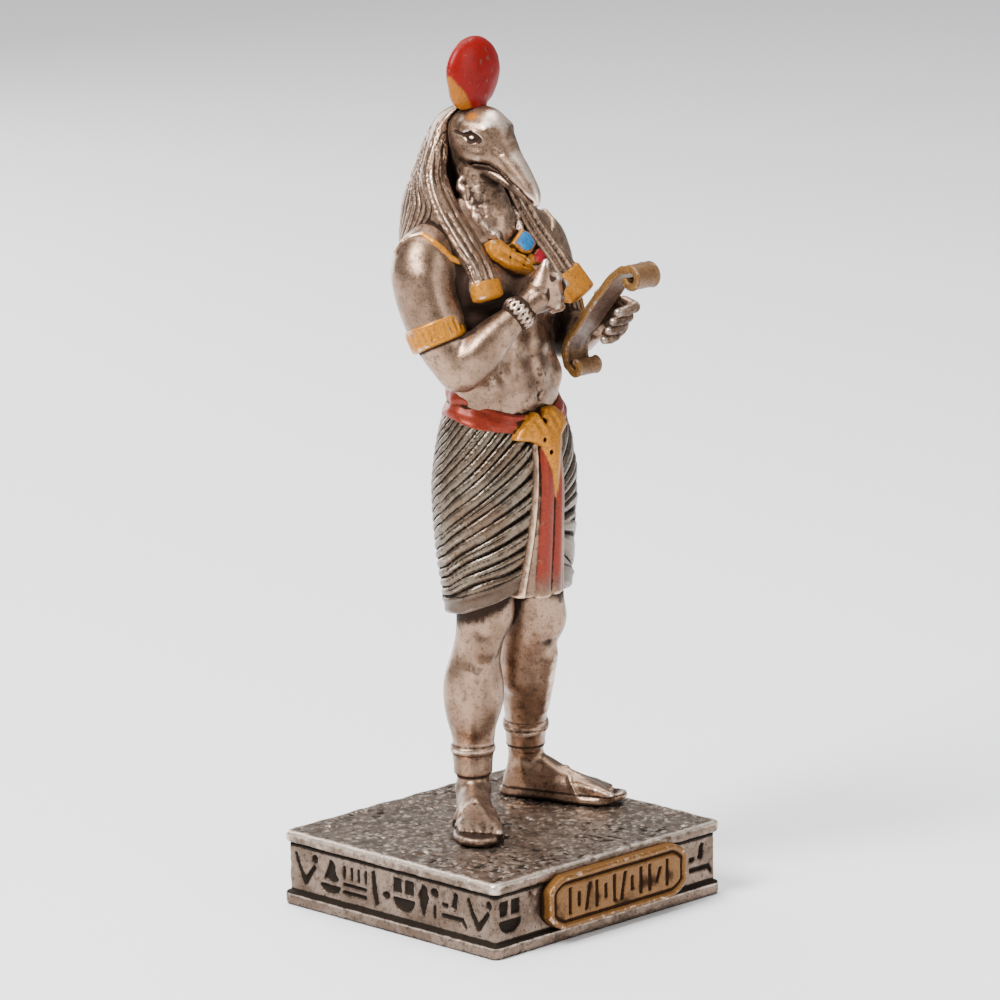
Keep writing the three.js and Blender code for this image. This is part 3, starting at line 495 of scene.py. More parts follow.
GOLD = linear(184, 116, 18)
OCHRE = linear(158, 94, 18)
BRICK = linear(130, 38, 17)
SCARLET = linear(124, 5, 3)
SKY = linear(36, 124, 186)
CRIMSON = linear(168, 22, 40)
SHEET = linear(112, 86, 76)
RIM = linear(120, 82, 32)
HEM = linear(84, 56, 38)
BRASS = linear(116, 76, 28)


class Coat:
    """The paint on a piece: a colour and how far it covers the metal, at each point."""

    def __init__(self, count):
        self.colour = np.zeros((count, 4), np.float32)

    def lay(self, colour, cover):
        """Lays a colour over what is there."""
        cover = np.clip(cover, 0, 1).astype(np.float32)[:, None]
        self.colour[:, :3] = self.colour[:, :3] * (1 - cover) + np.array(colour, np.float32) * cover
        self.colour[:, 3:] = np.maximum(self.colour[:, 3:], cover)


def inside_of(form, points, edge=0.08, grow=0.06):
    """1 on the points of a form's own surface, 0 away from it."""
    d = form.distance(points[:, 0], points[:, 1], points[:, 2])
    return 1 - step_up(d, grow, grow + edge)


# Rows of the body and arms, in parts above the plinth: x, y, z, half width, half depth

FRONT = (0, -1, 0)
UP = (0, 0, 1)

TORSO = [
    [1.2, 0.6, 36.5, 6.2, 4.4], [1.05, 0.5, 41.5, 5.9, 4.2], [1.0, 0.55, 44.0, 5.6, 3.95],
    [0.9, 0.9, 46.8, 6.0, 4.1], [0.75, 1.5, 50.0, 7.0, 4.5], [0.6, 2.0, 53.0, 7.7, 4.8],
    [0.45, 2.5, 55.4, 7.6, 4.5], [0.3, 2.9, 57.4, 6.3, 3.7], [0.1, 3.0, 59.0, 4.2, 3.0],
    [0.0, 3.0, 60.4, 2.6, 2.5],
]
RIGHT_ARM = [
    [-5.2, 2.9, 57.4, 1.5, 1.5], [-6.7, 2.9, 56.8, 2.3, 2.3], [-7.6, 2.6, 54.8, 2.75, 2.8],
    [-7.9, 1.8, 52.4, 2.65, 2.75], [-7.85, 0.8, 50.0, 2.45, 2.55], [-7.4, -0.5, 47.9, 2.35, 2.45],
    [-7.0, -1.6, 46.2, 2.05, 2.15], [-6.7, -2.2, 45.1, 1.2, 1.2],
]
RIGHT_FOREARM = [
    [-7.5, -1.4, 45.2, 1.1, 1.2], [-6.8, -2.1, 46.1, 1.9, 2.0], [-5.8, -3.0, 47.5, 2.15, 2.15],
    [-4.6, -4.0, 49.2, 1.85, 1.8], [-3.0, -4.9, 50.8, 1.4, 1.3], [-1.8, -5.4, 51.8, 1.25, 1.1],
    [-0.6, -5.8, 52.6, 1.5, 1.2],
]
LEFT_ARM = [
    [6.0, 2.9, 57.4, 1.5, 1.5], [7.5, 2.8, 56.6, 2.3, 2.3], [8.5, 2.6, 54.6, 2.7, 2.8],
    [9.0, 2.2, 52.4, 2.6, 2.7], [9.2, 1.6, 50.2, 2.4, 2.5], [9.3, 1.0, 48.2, 2.3, 2.4],
    [9.3, 0.4, 46.8, 2.0, 2.1], [9.2, 0.0, 45.8, 1.2, 1.2],
]
LEFT_FOREARM = [
    [9.5, 1.2, 45.8, 1.2, 1.2], [9.2, 0.1, 46.5, 1.95, 2.0], [8.6, -1.9, 47.1, 2.05, 2.05],
    [7.8, -3.9, 47.8, 1.7, 1.7], [7.3, -5.4, 48.4, 1.3, 1.35], [7.4, -6.4, 48.9, 1.0, 1.3],
    [7.6, -7.1, 49.3, 0.8, 1.2],
]


def body_block():
    """Torso and arms, smooth where the muscles run into each other."""
    low, high = [-11.6, -8.6, 35.5], [12.7, 8.2, 61.5]
    block = Block(low, high, 0.2)
    block.join(sweep(TORSO, FRONT, 5, 2.3))
    for side in (-1, 1):
        block.join(ball([0.5 + side * 3.3, -1.6, 53.7], [3.3, 1.5, 2.3], (8, 0, side * -14)), 0.8)
        block.join(rod([side * 1.6, 3.3, 60.2], [side * 5.6, 3.0, 57.7], 1.3, 1.7), 1.6)
        block.join(ball([0.6 + side * 5.2, 0.9, 49.6], [1.5, 2.6, 3.4]), 1.2)
        waist = 4.2 - 0.2 * side
        block.join(ball([1.0 + side * waist, -0.9, 44.0], [waist - 2.6, 2.4, 2.0]), 1.0)
        block.join(ball([0.5 + side * 3.4, 5.4, 54.2], [2.6, 1.1, 3.0]), 1.2)
        for height in (50.0, 47.4, 44.9):
            front_at = -2.25 - (50.0 - height) * 0.09
            block.join(ball([0.85 + side * 1.5, front_at, height], [1.5, 1.0, 1.25]), 0.9)
    block.join(ball([1.1, -2.35, 42.9], [2.8, 1.25, 1.8]), 1.2)
    for form, blend in torso_hollows():
        block.cut(form, blend)
    arms = Block(low, high, 0.2)
    arms.join_all(arm_forms())
    height = (arms.low[2] + arms.step * np.arange(arms.shape[2])).astype(np.float32)
    block.value = smooth_min(block.value, arms.value, 0.1 + 0.9 * step_up(height, 53.4, 56.2))
    return block, arms


def arm_forms():
    return [
        (sweep(RIGHT_ARM, FRONT, 4), 0.8),
        (sweep(LEFT_ARM, FRONT, 4), 0.8),
        (ball([-7.2, 2.5, 55.5], [2.5, 2.9, 3.1]), 1.2),
        (ball([7.9, 2.5, 55.3], [2.5, 2.9, 3.1]), 1.2),
        (rod([-8.6, 0.9, 54.6], [-8.5, -0.5, 51.4], 1.0, 0.9), 1.3),
        (rod([-6.9, 0.6, 54.0], [-6.9, -0.9, 50.9], 0.9, 0.9), 1.3),
        (rod([9.0, 0.6, 54.0], [9.2, -0.4, 51.0], 0.9, 0.9), 1.3),
        (sweep(RIGHT_FOREARM, UP, 4), 0.5),
        (sweep(LEFT_FOREARM, UP, 4), 0.5),
        (ball([-6.3, -3.2, 47.7], [1.6, 1.2, 2.0], (40, 20, 20)), 0.9),
        (rod([-6.0, -3.9, 48.6], [-3.6, -5.2, 50.6], 0.8, 0.6), 0.9),
        (ball([8.9, -2.2, 47.9], [1.5, 2.0, 1.3]), 0.8),
    ]


def torso_hollows():
    return [
        (rod([0.7, -4.3, 52.2], [1.0, -4.5, 44.6], 0.45, 0.4), 0.8),
        (ball([1.7, -4.25, 42.5], [0.42, 0.7, 0.5]), 0.4),
        (rod([-0.9, -4.35, 47.6], [-1.2, -4.2, 45.2], 0.4), 0.7),
        (rod([2.9, -4.35, 47.4], [3.2, -4.2, 45.2], 0.4), 0.7),
        (rod([-4.4, -3.9, 43.8], [-1.8, -4.9, 41.3], 0.3), 0.6),
        (rod([6.3, -3.6, 43.8], [3.9, -4.9, 41.3], 0.3), 0.6),
        (rod([-5.2, -1.4, 51.3], [0.0, -4.1, 51.4], 0.35), 0.8),
        (rod([6.2, -1.4, 51.3], [1.4, -4.1, 51.4], 0.35), 0.8),
        (rod([0.9, 6.0, 55.5], [1.0, 5.2, 43.0], 0.5), 0.9),
    ]


# Hands

WRIST = np.array([-2.45, -5.15, 51.3])
WRIST_WAY = unit(np.array([0.72, -0.3, 0.62]))
BRAID_STRANDS = 4
BRAID_WAVES = 4
BRAID_BEADS = 88


def fist_block():
    """The right fist at the chest, a short stylus in it, and the braided bracelet behind."""
    block = Block([-4.8, -9.2, 48.4], [4.4, -2.8, 57.4], 0.1)
    block.join(ball([0.4, -5.7, 53.2], [1.6, 1.5, 2.1], (0, 24, 0)))
    block.join(rod([-1.7, -5.45, 51.9], [0.2, -5.7, 53.0], 1.2, 1.4), 0.7)
    for i in range(4):
        drop = 0.8 * i
        knuckle = [0.7, -6.95, 54.4 - drop]
        block.join(rod([0.2 + 0.1 * i, -5.9, 54.7 - drop], knuckle, 0.6, 0.58), 0.4)
        block.join(rod(knuckle, [1.8, -6.5, 53.9 - drop], 0.55, 0.46), 0.2)
        block.join(rod([1.8, -6.5, 53.9 - drop], [1.4, -5.9, 53.6 - drop], 0.46, 0.42), 0.14)
    block.join(rod([-0.7, -6.0, 52.6], [0.7, -7.0, 53.0], 0.62, 0.52), 0.6)
    block.join(rod([0.7, -7.0, 53.0], [1.7, -7.2, 53.8], 0.48, 0.4), 0.25)
    block.join(rod([0.0, -5.9, 53.8], [0.3, -6.1, 55.9], 1.35, 0.34), 0.5)
    side = unit(np.cross(WRIST_WAY, UP))
    over = np.cross(side, WRIST_WAY)
    for strand in range(BRAID_STRANDS):
        for i in range(BRAID_BEADS):
            angle = 2 * math.pi * i / BRAID_BEADS
            phase = BRAID_WAVES * angle + 2 * math.pi * strand / BRAID_STRANDS
            swing = 0.8 * math.sin(phase)
            lift = 1.46 + 0.17 * math.cos(2 * phase)
            ring = math.cos(angle) * side + math.sin(angle) * over * 0.92
            block.join(ball(WRIST + WRIST_WAY * swing + lift * ring, [0.2, 0.2, 0.2]), 0.03)
    return block


SCROLL_NEAR = 3.5
SCROLL_FAR = 6.6
SHEET_HALF = 0.39
SHEET_BULGE = 0.6
TOP_ROLL = (-13.85, 54.8, 1.0)
BOTTOM_ROLL = (-6.6, 45.3, 0.62)
SHEET_LINE = [
    (-12.75, 55.55), (-11.4, 54.6), (-10.1, 53.2), (-8.6, 51.5), (-7.0, 49.5), (-5.7, 47.9),
    (-5.25, 46.6), (-5.5, 45.4),
]


def roll_points(roll, start, sweep_angle, shrink, steps=14):
    y, z, radius = roll
    points = []
    for i in range(steps + 1):
        share = i / steps
        angle = math.radians(start + sweep_angle * share)
        r = radius * (1 - shrink * share)
        points.append((y + math.cos(angle) * r, z + math.sin(angle) * r))
    return points


def scroll_line():
    sheet = [tuple(row) for row in smooth_rows(SHEET_LINE, 3)]
    top = roll_points(TOP_ROLL, 48, 285, 0.25)[::-1]
    return top + sheet + roll_points(BOTTOM_ROLL, -25, -235, 0.2)


def scroll_form():
    line = scroll_line()
    ys, zs = zip(*line)

    def distance(x, y, z):
        flat, _ = line_distance(y, z, line)
        rim = bell(x - SCROLL_NEAR - 0.16, 0.2) + bell(x - SCROLL_FAR + 0.16, 0.2)
        across = np.maximum(SCROLL_NEAR - x, x - SCROLL_FAR - SHEET_BULGE * bell(z - 50.6, 2.3))
        return smooth_max(flat - (SHEET_HALF - 0.07) - 0.1 * rim, across, 0.22)

    low = [SCROLL_NEAR, min(ys) - SHEET_HALF, min(zs) - SHEET_HALF]
    return Form(low, [SCROLL_FAR + SHEET_BULGE, max(ys) + SHEET_HALF, max(zs) + SHEET_HALF], distance)


def scroll_hand_forms():
    forms = [(ball([7.55, -8.0, 49.8], [0.7, 2.0, 1.8], (40, 0, 0)), 0.3)]
    for i in range(4):
        y, z, end = -10.5 + 0.85 * i, 51.4 - 1.03 * i, 5.1 + 0.25 * i
        knuckle = [7.4, y - 0.3, z - 0.2]
        forms.append((rod([7.4, y + 1.0, z + 0.1], knuckle, 0.62, 0.6), 0.25))
        forms.append((rod(knuckle, [(7.4 + end) / 2, y - 0.5, z - 0.35], 0.56, 0.52), 0.12))
        forms.append((rod([(7.4 + end) / 2, y - 0.5, z - 0.35], [end, y - 0.45, z - 0.4], 0.52, 0.44), 0.08))
    forms.append((rod([7.4, -6.6, 50.4], [6.4, -7.3, 51.6], 0.72, 0.6), 0.25))
    forms.append((rod([6.4, -7.3, 51.6], [5.4, -8.1, 52.4], 0.58, 0.48), 0.1))
    return forms


def scroll_block():
    block, hand = (Block([2.9, -15.6, 43.8], [8.6, -4.2, 57.0], 0.13) for _ in range(2))
    block.join(scroll_form())
    hand.join_all(scroll_hand_forms())
    block.value = smooth_min(block.value, hand.value, 0.08)
    return block, hand


# Bands of the arms and ankles

BAND_RIBS = 26
RIB_DEPTH = 0.07
BAND_RIM = 0.04


def banded(rows):
    """A raised band, with ribs round it and a plain rim at both ends."""
    def relief(angle, along):
        inner = np.minimum(step_up(along, 0.18, 0.3), 1 - step_up(along, 0.7, 0.82))
        edge = np.minimum(step_up(along, 0.0, 0.08), 1 - step_up(along, 0.92, 1.0))
        return BAND_RIM * edge + inner * (RIB_DEPTH * np.sin(angle * BAND_RIBS) - BAND_RIM)
    return sweep(rows, FRONT, 8, 2.0, relief, cap=0.12)


RIGHT_BAND = [[-7.9, 0.85, 50.3, 2.78, 2.88], [-7.7, 0.05, 48.5, 2.72, 2.82]]
LEFT_BAND = [[9.2, 1.55, 50.2, 2.68, 2.78], [9.35, 1.0, 48.2, 2.62, 2.72]]


def arm_bands_block():
    block = Block([-11.4, -3.6, 47.0], [-4.4, 4.6, 51.7], 0.11)
    block.join(banded(RIGHT_BAND))
    other = Block([5.9, -2.6, 46.7], [12.7, 5.2, 51.6], 0.13)
    other.join(banded(LEFT_BAND))
    return block, other


# Legs and feet

RIGHT_TURN = -41.0
LEFT_TURN = 24.0
FOOT_LENGTH = 13.0
SOLE = 0.85
RIGHT_LEG = [
    [-1.5, 1.4, 27.5, 2.95, 3.25], [-1.05, 1.55, 22.5, 2.5, 2.75], [-0.9, 1.8, 19.3, 2.35, 2.55],
    [-0.95, 2.3, 16.8, 2.35, 2.35], [-1.2, 2.85, 13.8, 2.65, 2.6], [-1.1, 2.95, 11.2, 2.55, 2.5],
    [-0.85, 2.95, 8.6, 2.1, 2.0], [-0.85, 3.0, 6.2, 1.8, 1.75], [-0.9, 3.0, 4.2, 1.55, 1.65],
    [-0.9, 3.0, 2.2, 1.5, 1.8],
]
LEFT_LEG = [
    [4.8, 0.4, 27.5, 2.95, 3.25], [5.25, 0.35, 22.3, 2.65, 2.75], [5.65, 0.65, 19.0, 2.55, 2.5],
    [5.9, 1.6, 16.6, 2.5, 2.3], [6.55, 2.75, 13.8, 2.55, 2.5], [7.2, 3.7, 11.3, 2.3, 2.4],
    [8.0, 4.5, 8.8, 1.95, 2.1], [8.65, 5.25, 6.4, 1.8, 1.9], [9.1, 5.6, 4.4, 1.55, 1.75],
    [9.2, 5.8, 2.2, 1.5, 1.9],
]
SOLE_HALF = [[0, 0.4], [0.04, 1.1], [0.14, 1.6], [0.4, 1.75], [0.72, 2.4], [0.9, 2.05], [1, 0.5]]
FOOT_ROWS = [
    [0.03, 0.07, 0.1], [0.1, 0.115, 0.23], [0.24, 0.13, 0.3], [0.38, 0.135, 0.27],
    [0.52, 0.15, 0.19], [0.66, 0.165, 0.135], [0.78, 0.16, 0.1], [0.86, 0.13, 0.07],
]


def chain(points, radius, blend=0.05):
    """Rods from point to point, each with its blend."""
    return [(rod(a, b, radius), blend) for a, b in zip(points[:-1], points[1:])]


def facing(degrees):
    turn = math.radians(degrees)
    return (math.sin(turn), -math.cos(turn), 0)


class Foot:
    """A sandalled foot laid out along -y from its heel, then turned and put under its ankle."""

    def __init__(self, ankle, turn, heel, inward, lift):
        self.ankle, self.heel, self.inward, self.lift = ankle, heel, inward, lift
        self.c, self.s = math.cos(math.radians(turn)), math.sin(math.radians(turn))
        self.turn = turn

    def out(self, x, y, z):
        y = y + self.heel
        return [self.ankle[0] + self.c * x - self.s * y, self.ankle[1] + self.s * x + self.c * y, z]

    def home(self, x, y):
        dx, dy = x - self.ankle[0], y - self.ankle[1]
        return self.c * dx + self.s * dy, -self.s * dx + self.c * dy - self.heel

    def box(self, high):
        ends = (0.6, -FOOT_LENGTH - 0.6)
        corners = np.array([self.out(x, y, z) for x in (-3, 3) for y in ends for z in (-0.2, high)])
        return corners.min(0), corners.max(0)

    def sole(self):
        shares, halves = smooth_rows(SOLE_HALF, 6).T

        def distance(x, y, z):
            u, v = self.home(x, y)
            share = np.clip(-v / FOOT_LENGTH, 0, 1)
            half = np.interp(share, shares, halves)
            lift = self.lift * np.clip(share - 0.85, 0, 1) ** 2 / 0.0225
            side = np.maximum(np.abs(u) - half, np.maximum(v, -v - FOOT_LENGTH))
            height = np.abs(z - lift - SOLE / 2) - SOLE / 2
            welt = 0.1 * bell(z - lift - 0.2, 0.16)
            return smooth_max(side - welt, height, 0.25)

        return Form(*self.box(2.0), distance)

    def instep(self):
        shares = np.array([row[0] for row in FOOT_ROWS])
        rows = np.array(FOOT_ROWS)

        def distance(x, y, z):
            u, v = self.home(x, y)
            share = -v / FOOT_LENGTH
            half = np.interp(share, shares, rows[:, 1]) * FOOT_LENGTH
            high = np.interp(share, shares, rows[:, 2]) * FOOT_LENGTH
            up = np.clip((z - SOLE * 0.6) / high, 0, None)
            k = (np.abs(u / half) ** 2.6 + up ** 2.2) ** (1 / 2.4) + 1e-4
            d = np.sqrt(u * u + (z - SOLE * 0.6) ** 2) * (1 - 1 / k)
            ends = np.maximum(shares[0] - share, share - shares[-1]) * FOOT_LENGTH
            return smooth_max(smooth_max(d, ends, 0.6), SOLE * 0.4 - z, 0.1)

        return Form(*self.box(5.0), distance)

    def toes(self):
        forms = []
        for i in range(5):
            across = self.inward * (1.72 - 0.84 * i)
            thick = 0.56 if i == 0 else 0.44 - 0.012 * i
            reach = (0.93 - 0.02 * i - (0.01 if i == 4 else 0)) * FOOT_LENGTH
            root = self.out(across * 0.75, -reach + 3.4, SOLE + 0.85)
            joint = self.out(across * 0.95, -reach + 1.5, SOLE + 0.55)
            tip = self.out(across, -reach + 0.2, SOLE + 0.17)
            nail = self.out(across, -reach - 0.05, SOLE + 0.36)
            forms.append((rod(root, joint, thick * 0.9, thick), 0.35))
            forms.append((rod(joint, tip, thick, thick * 0.92), 0.1))
            forms.append((ball(nail, [thick * 0.62, thick * 0.62, thick * 0.3], (-30, 0, self.turn)), 0.05))
        return forms

    def straps(self):
        """A band over the instep, a knot on it and a post between the first two toes."""
        steps = 9
        arch = []
        first = 0 if self.inward > 0 else 0.22 * math.pi
        for i in range(steps + 1):
            angle = first + (math.pi - 2 * first) * i / steps
            x, z = math.cos(angle) * 2.1, SOLE * 0.6 + math.sin(angle) * 2.15
            arch.append(self.out(x, -0.5 * FOOT_LENGTH, z))
        forms = chain(arch, 0.3)
        knot = self.out(0, -0.52 * FOOT_LENGTH, SOLE + 2.15)
        forms.append((ball(knot, [0.5, 0.5, 0.34]), 0.1))
        post = self.out(self.inward * 1.15, -0.8 * FOOT_LENGTH, SOLE + 0.95)
        forms.append((rod(knot, post, 0.26, 0.22), 0.06))
        for side in (-1, 1) if self.inward > 0 else (-1,):
            low = self.out(side * 2.2, -0.68 * FOOT_LENGTH, SOLE * 0.7)
            bend = self.out(side * 1.5, -0.6 * FOOT_LENGTH, SOLE + 1.4)
            forms += chain([knot, bend, low], 0.25)
        return forms

    def join(self, block):
        block.join(self.instep(), 0.5)
        start = self.out(0, -0.4 * FOOT_LENGTH, SOLE + 1.3)
        end = self.out(self.inward * 1.1, -0.82 * FOOT_LENGTH, SOLE + 0.3)
        block.join(rod(start, end, 1.1, 0.55 if self.inward > 0 else 0.75), 0.5)
        block.join_all(self.toes())
        block.join(self.sole(), 0.06)
        block.join_all(self.straps())


RIGHT_FOOT = Foot([-0.9, 3.0], RIGHT_TURN, 2.9, 1, 0.0)
LEFT_FOOT = Foot([9.2, 5.8], LEFT_TURN, 2.6, -1, 0.5)


LEFT_LEAN = [-0.25, -0.26]
ANKLETS = [
    ([-0.88, 3.0, 4.7], [0, 0], [[0, 1.9], [0.15, 1.86], [1.1, 1.9], [2.1, 2.0]]),
    ([-0.88, 3.0, 6.85], [0, 0], [[0, 2.12], [0.36, 2.24], [0.72, 2.12]]),
    ([8.9, 5.42, 5.4], LEFT_LEAN, [[0, 1.98], [0.15, 1.92], [0.9, 1.95], [1.75, 2.02]]),
    ([8.46, 4.96, 7.2], LEFT_LEAN, [[0, 2.2], [0.33, 2.34], [0.66, 2.2]]),
]


def anklet(foot, lean, rows):
    x, y, z = foot
    placed = [[x + lean[0] * rise, y + lean[1] * rise, z + rise, radius] for rise, radius in rows]
    return sweep(placed, FRONT, 1, cap=0.1)


def leg_muscles():
    return [
        (ball([-2.0, 0.45, 18.2], [1.35, 0.8, 1.6], (0, 0, RIGHT_TURN)), 1.1),
        (ball([6.75, -0.8, 19.5], [1.45, 0.85, 1.6], (0, 0, LEFT_TURN)), 1.1),
        (rod([-2.4, 0.9, 15.4], [-2.3, 1.6, 9.6], 0.7, 0.5), 1.1),
        (rod([6.6, -0.2, 15.6], [7.9, 2.3, 9.8], 0.7, 0.5), 1.1),
        (ball([-0.4, 4.2, 13.6], [1.9, 1.5, 3.2]), 0.8),
        (ball([-0.6, 2.3, 13.0], [2.35, 2.35, 3.8]), 0.8),
        (ball([-0.5, 1.0, 21.5], [2.45, 2.45, 3.4]), 0.8),
        (rod([4.75, 1.0, 22.0], [5.6, 2.8, 13.5], 2.4, 2.2), 0.6),
        (ball([7.2, 4.1, 12.9], [1.7, 1.4, 3.1], (20, 0, 0)), 0.8),
    ]


def legs_block():
    block = Block([-11.4, -9.8, -0.3], [15.4, 11.0, 28.2], 0.195)
    block.join(sweep(RIGHT_LEG, facing(RIGHT_TURN), 4))
    block.join(sweep(LEFT_LEG, facing(LEFT_TURN), 4), 0.3)
    block.join_all(leg_muscles())
    for foot in (RIGHT_FOOT, LEFT_FOOT):
        foot.join(block)
    for foot, side in ((RIGHT_FOOT, 1), (RIGHT_FOOT, -1), (LEFT_FOOT, 1), (LEFT_FOOT, -1)):
        block.join(ball(foot.out(side * 1.25, -foot.heel, 3.2), [0.42, 0.6, 0.6]), 0.5)
    block.cut(rod([-3.4, 0.0, 20.6], [-3.0, -0.4, 19.2], 0.3), 0.7)
    block.cut(ball([-2.9, 0.0, 15.9], [0.5, 0.5, 0.4]), 0.5)
    block.cut(rod([5.3, -1.5, 17.3], [6.9, -1.7, 17.2], 0.25), 0.5)
    for anklet_row in ANKLETS:
        block.join(anklet(*anklet_row), 0.04)
    return block


# Kilt, belt and apron

KILT = [
    [1.1, 0.55, 42.0, 5.9, 4.35], [1.15, 0.55, 40.0, 6.75, 4.95], [1.25, 0.58, 37.0, 7.5, 5.5],
    [1.3, 0.6, 33.5, 7.95, 5.75], [1.35, 0.6, 29.0, 7.8, 5.5], [1.5, 0.58, 25.0, 7.4, 5.15],
    [1.7, 0.55, 22.3, 7.05, 4.9],
]
KILT_FINE = smooth_rows(KILT, 6)[::-1]
KILT_TOP = KILT[0][2]
KILT_BOX = ([-7.4, -6.4, 20.2], [10.2, 7.4, 42.4])
FOLD_PITCH = 1.75
FOLD_DEPTH = 0.42
FOLD_FIRST = 25.4
FOLD_FALL = 2.9
FOLD_GAIN = 0.42
APRON_HALF = 20.0
APRON_MIDDLE = -1.0
HEM_BAND = 1.5
BELT_HIGH = 1.8
BELT_PROUD = 0.25
HEM_HEIGHTS = [[0, 24.1], [0.35, 22.9], [0.8, 21.8], [1.4, 21.2], [2.2, 21.6]]


def kilt_round(x, y, z):
    """Distance from the kilt without its folds, and the angle round it in degrees from the front."""
    cx, cy, wide, deep = (np.interp(z, KILT_FINE[:, 2], KILT_FINE[:, k]) for k in (0, 1, 3, 4))
    dx, dy = (x - cx).astype(np.float32), (y - cy).astype(np.float32)
    k = np.sqrt((dx / wide) ** 2 + (dy / deep) ** 2) + 1e-4
    distance = np.sqrt(dx * dx + dy * dy) * (1 - 1 / k)
    return distance.astype(np.float32), np.degrees(np.arctan2(dx / wide, -dy / deep)).astype(np.float32)


def from_apron(angle):
    """The angle from the apron's middle, from -180 to 180 degrees."""
    return (angle - APRON_MIDDLE + 180) % 360 - 180


def wrap_share(angle):
    return np.clip(np.abs(from_apron(angle)) - APRON_HALF, 0, None) / 75


def hem_height(share):
    shares, heights = zip(*HEM_HEIGHTS)
    return np.interp(share, shares, heights)


def belt_lower(angle):
    return 40.6 - 1.4 * np.clip(np.cos(np.radians(angle)), 0, None)


def belt_high(angle):
    return BELT_HIGH + 0.85 * step_up(np.abs(angle), 20, 70)


def folds(angle, z):
    """How far the pleats stand out, and how dark their grooves are, by angle and height."""
    round_by = from_apron(angle)
    near_side = round_by < 0
    share = np.clip(np.abs(round_by) - np.where(near_side, 8.0, 20.0), 0, None) / np.where(near_side, 87, 75)
    eased = np.where(share < 1, share ** 0.85, 1 + 0.3 * np.sin(np.minimum(share - 1, 1) * math.pi / 2))
    start = (z + eased * (FOLD_FALL - FOLD_GAIN * FOLD_FIRST)) / (1 - FOLD_GAIN * eased)
    start = np.where(start < FOLD_FIRST, z + FOLD_FALL * eased, start)
    far = (z + 1.3 * 30.5 * eased) / (1 + 1.3 * eased)
    start = start + (far - start) * np.where(near_side, 0, 1 - step_up(angle, 52, 88))
    phase = (start - FOLD_FIRST) / FOLD_PITCH + 0.2 * noise(angle * 0.03, z * 0.16, 0 * z, 5)
    index = np.floor(phase)
    f = phase - index
    strength = np.clip(0.75 + 0.8 * noise(angle * 0.04 + index * 7.3, index * 3.1, 0 * z, 7), 0.2, 1.2)
    deep = at_both_ends(f, 0.1) * strength
    half = np.clip(0.55 + 0.9 * noise(angle * 0.045, index * 5.7, 0 * z, 9), 0, 1)
    second = bell(f - 0.54 - 0.06 * half, 0.075) * half
    crown = np.sin(math.pi * np.clip(f, 0, 1)) ** 0.8
    fine = 0.04 * np.cos(2 * math.pi * (f * 4 + 0.3))
    room = 1 - 0.45 * np.clip((start - FOLD_FIRST) / 20, 0, 1) * np.minimum(share, 1)
    relief = (0.2 * crown + fine - FOLD_DEPTH * 1.15 * deep - 0.24 * second) * room
    low = hem_height(wrap_share(angle)) + HEM_BAND
    within = step_up(z, low, low + 0.4)
    edge = 0.2 * bell(z - low + 0.1, 0.25)
    dark = np.clip(deep * 1.3 + 0.7 * second, 0, 1.2)
    return relief * within + 0.1 * (1 - within) + edge, dark * within


def kilt_block():
    block = Block(*KILT_BOX, 0.16)

    def distance(x, y, z):
        smooth, angle = kilt_round(x, y, z)
        skin = np.abs(smooth) < 0.9
        d = smooth.copy()
        d[skin] -= folds(angle[skin], np.broadcast_to(z, smooth.shape)[skin])[0]
        hem = hem_height(wrap_share(angle)) - z
        d = smooth_max(d, hem, 0.3)
        inner = smooth_max(smooth + 0.95, -hem - 1.5, 0.3)
        top = z - belt_lower(angle) - 1.1
        return smooth_max(smooth_max(d, -inner, 0.15), top, 0.2)

    block.join(Form(*KILT_BOX, distance))
    return block


def strip(rows, proud, hem_drop=0.0):
    """A strip that hangs down the kilt's front: rows of [height, left x, right x]."""
    rows = np.array(rows, float)[::-1]

    def distance(x, y, z):
        smooth, _ = kilt_round(x, y, z)
        left, right = (np.interp(z, rows[:, 0], rows[:, k]) for k in (1, 2))
        side = np.maximum(left - x, x - right)
        crease = 0.1 * np.cos((x - left) / np.maximum(right - left, 0.1) * 2 * math.pi)
        d = smooth_max(smooth - proud + crease * 0.5, side, 0.3)
        ends = np.maximum(rows[0, 0] + hem_drop * (x - rows[0, 1]) - z, z - rows[-1, 0])
        back = np.maximum(-0.9 - smooth, y)
        return smooth_max(np.maximum(d, back), ends, 0.15)

    low = [rows[:, 1].min(), -6.8, rows[0, 0] - 0.3]
    return Form(low, [rows[:, 2].max(), -2.5, rows[-1, 0]], distance)


APRON_BASE = [[40.5, -0.3, 3.6], [37.0, -0.35, 3.65], [30.0, -0.9, 3.9], [23.3, -1.75, 4.5]]
APRON_BORDER = [[40.5, -0.35, 0.1], [37.0, -0.4, 0.05], [30.0, -0.95, -0.4], [23.3, -1.8, -1.1]]
APRON_RED = [[40.5, 0.3, 1.6], [32.0, 0.15, 1.75], [23.0, 0.0, 1.9]]
APRON_RED_FAR = [[40.5, 2.0, 3.0], [32.0, 2.05, 3.1], [23.1, 2.2, 3.6]]
BUCKLE = [
    (-2.5, 38.9), (-1.9, 39.8), (-0.9, 40.6), (0.3, 41.3), (0.9, 40.5), (1.5, 41.4), (2.9, 41.5), (3.9, 40.7),
    (4.4, 39.5), (3.1, 38.7), (2.6, 36.4), (1.9, 32.6), (1.4, 35.6), (0.4, 38.0), (-0.8, 38.6),
]


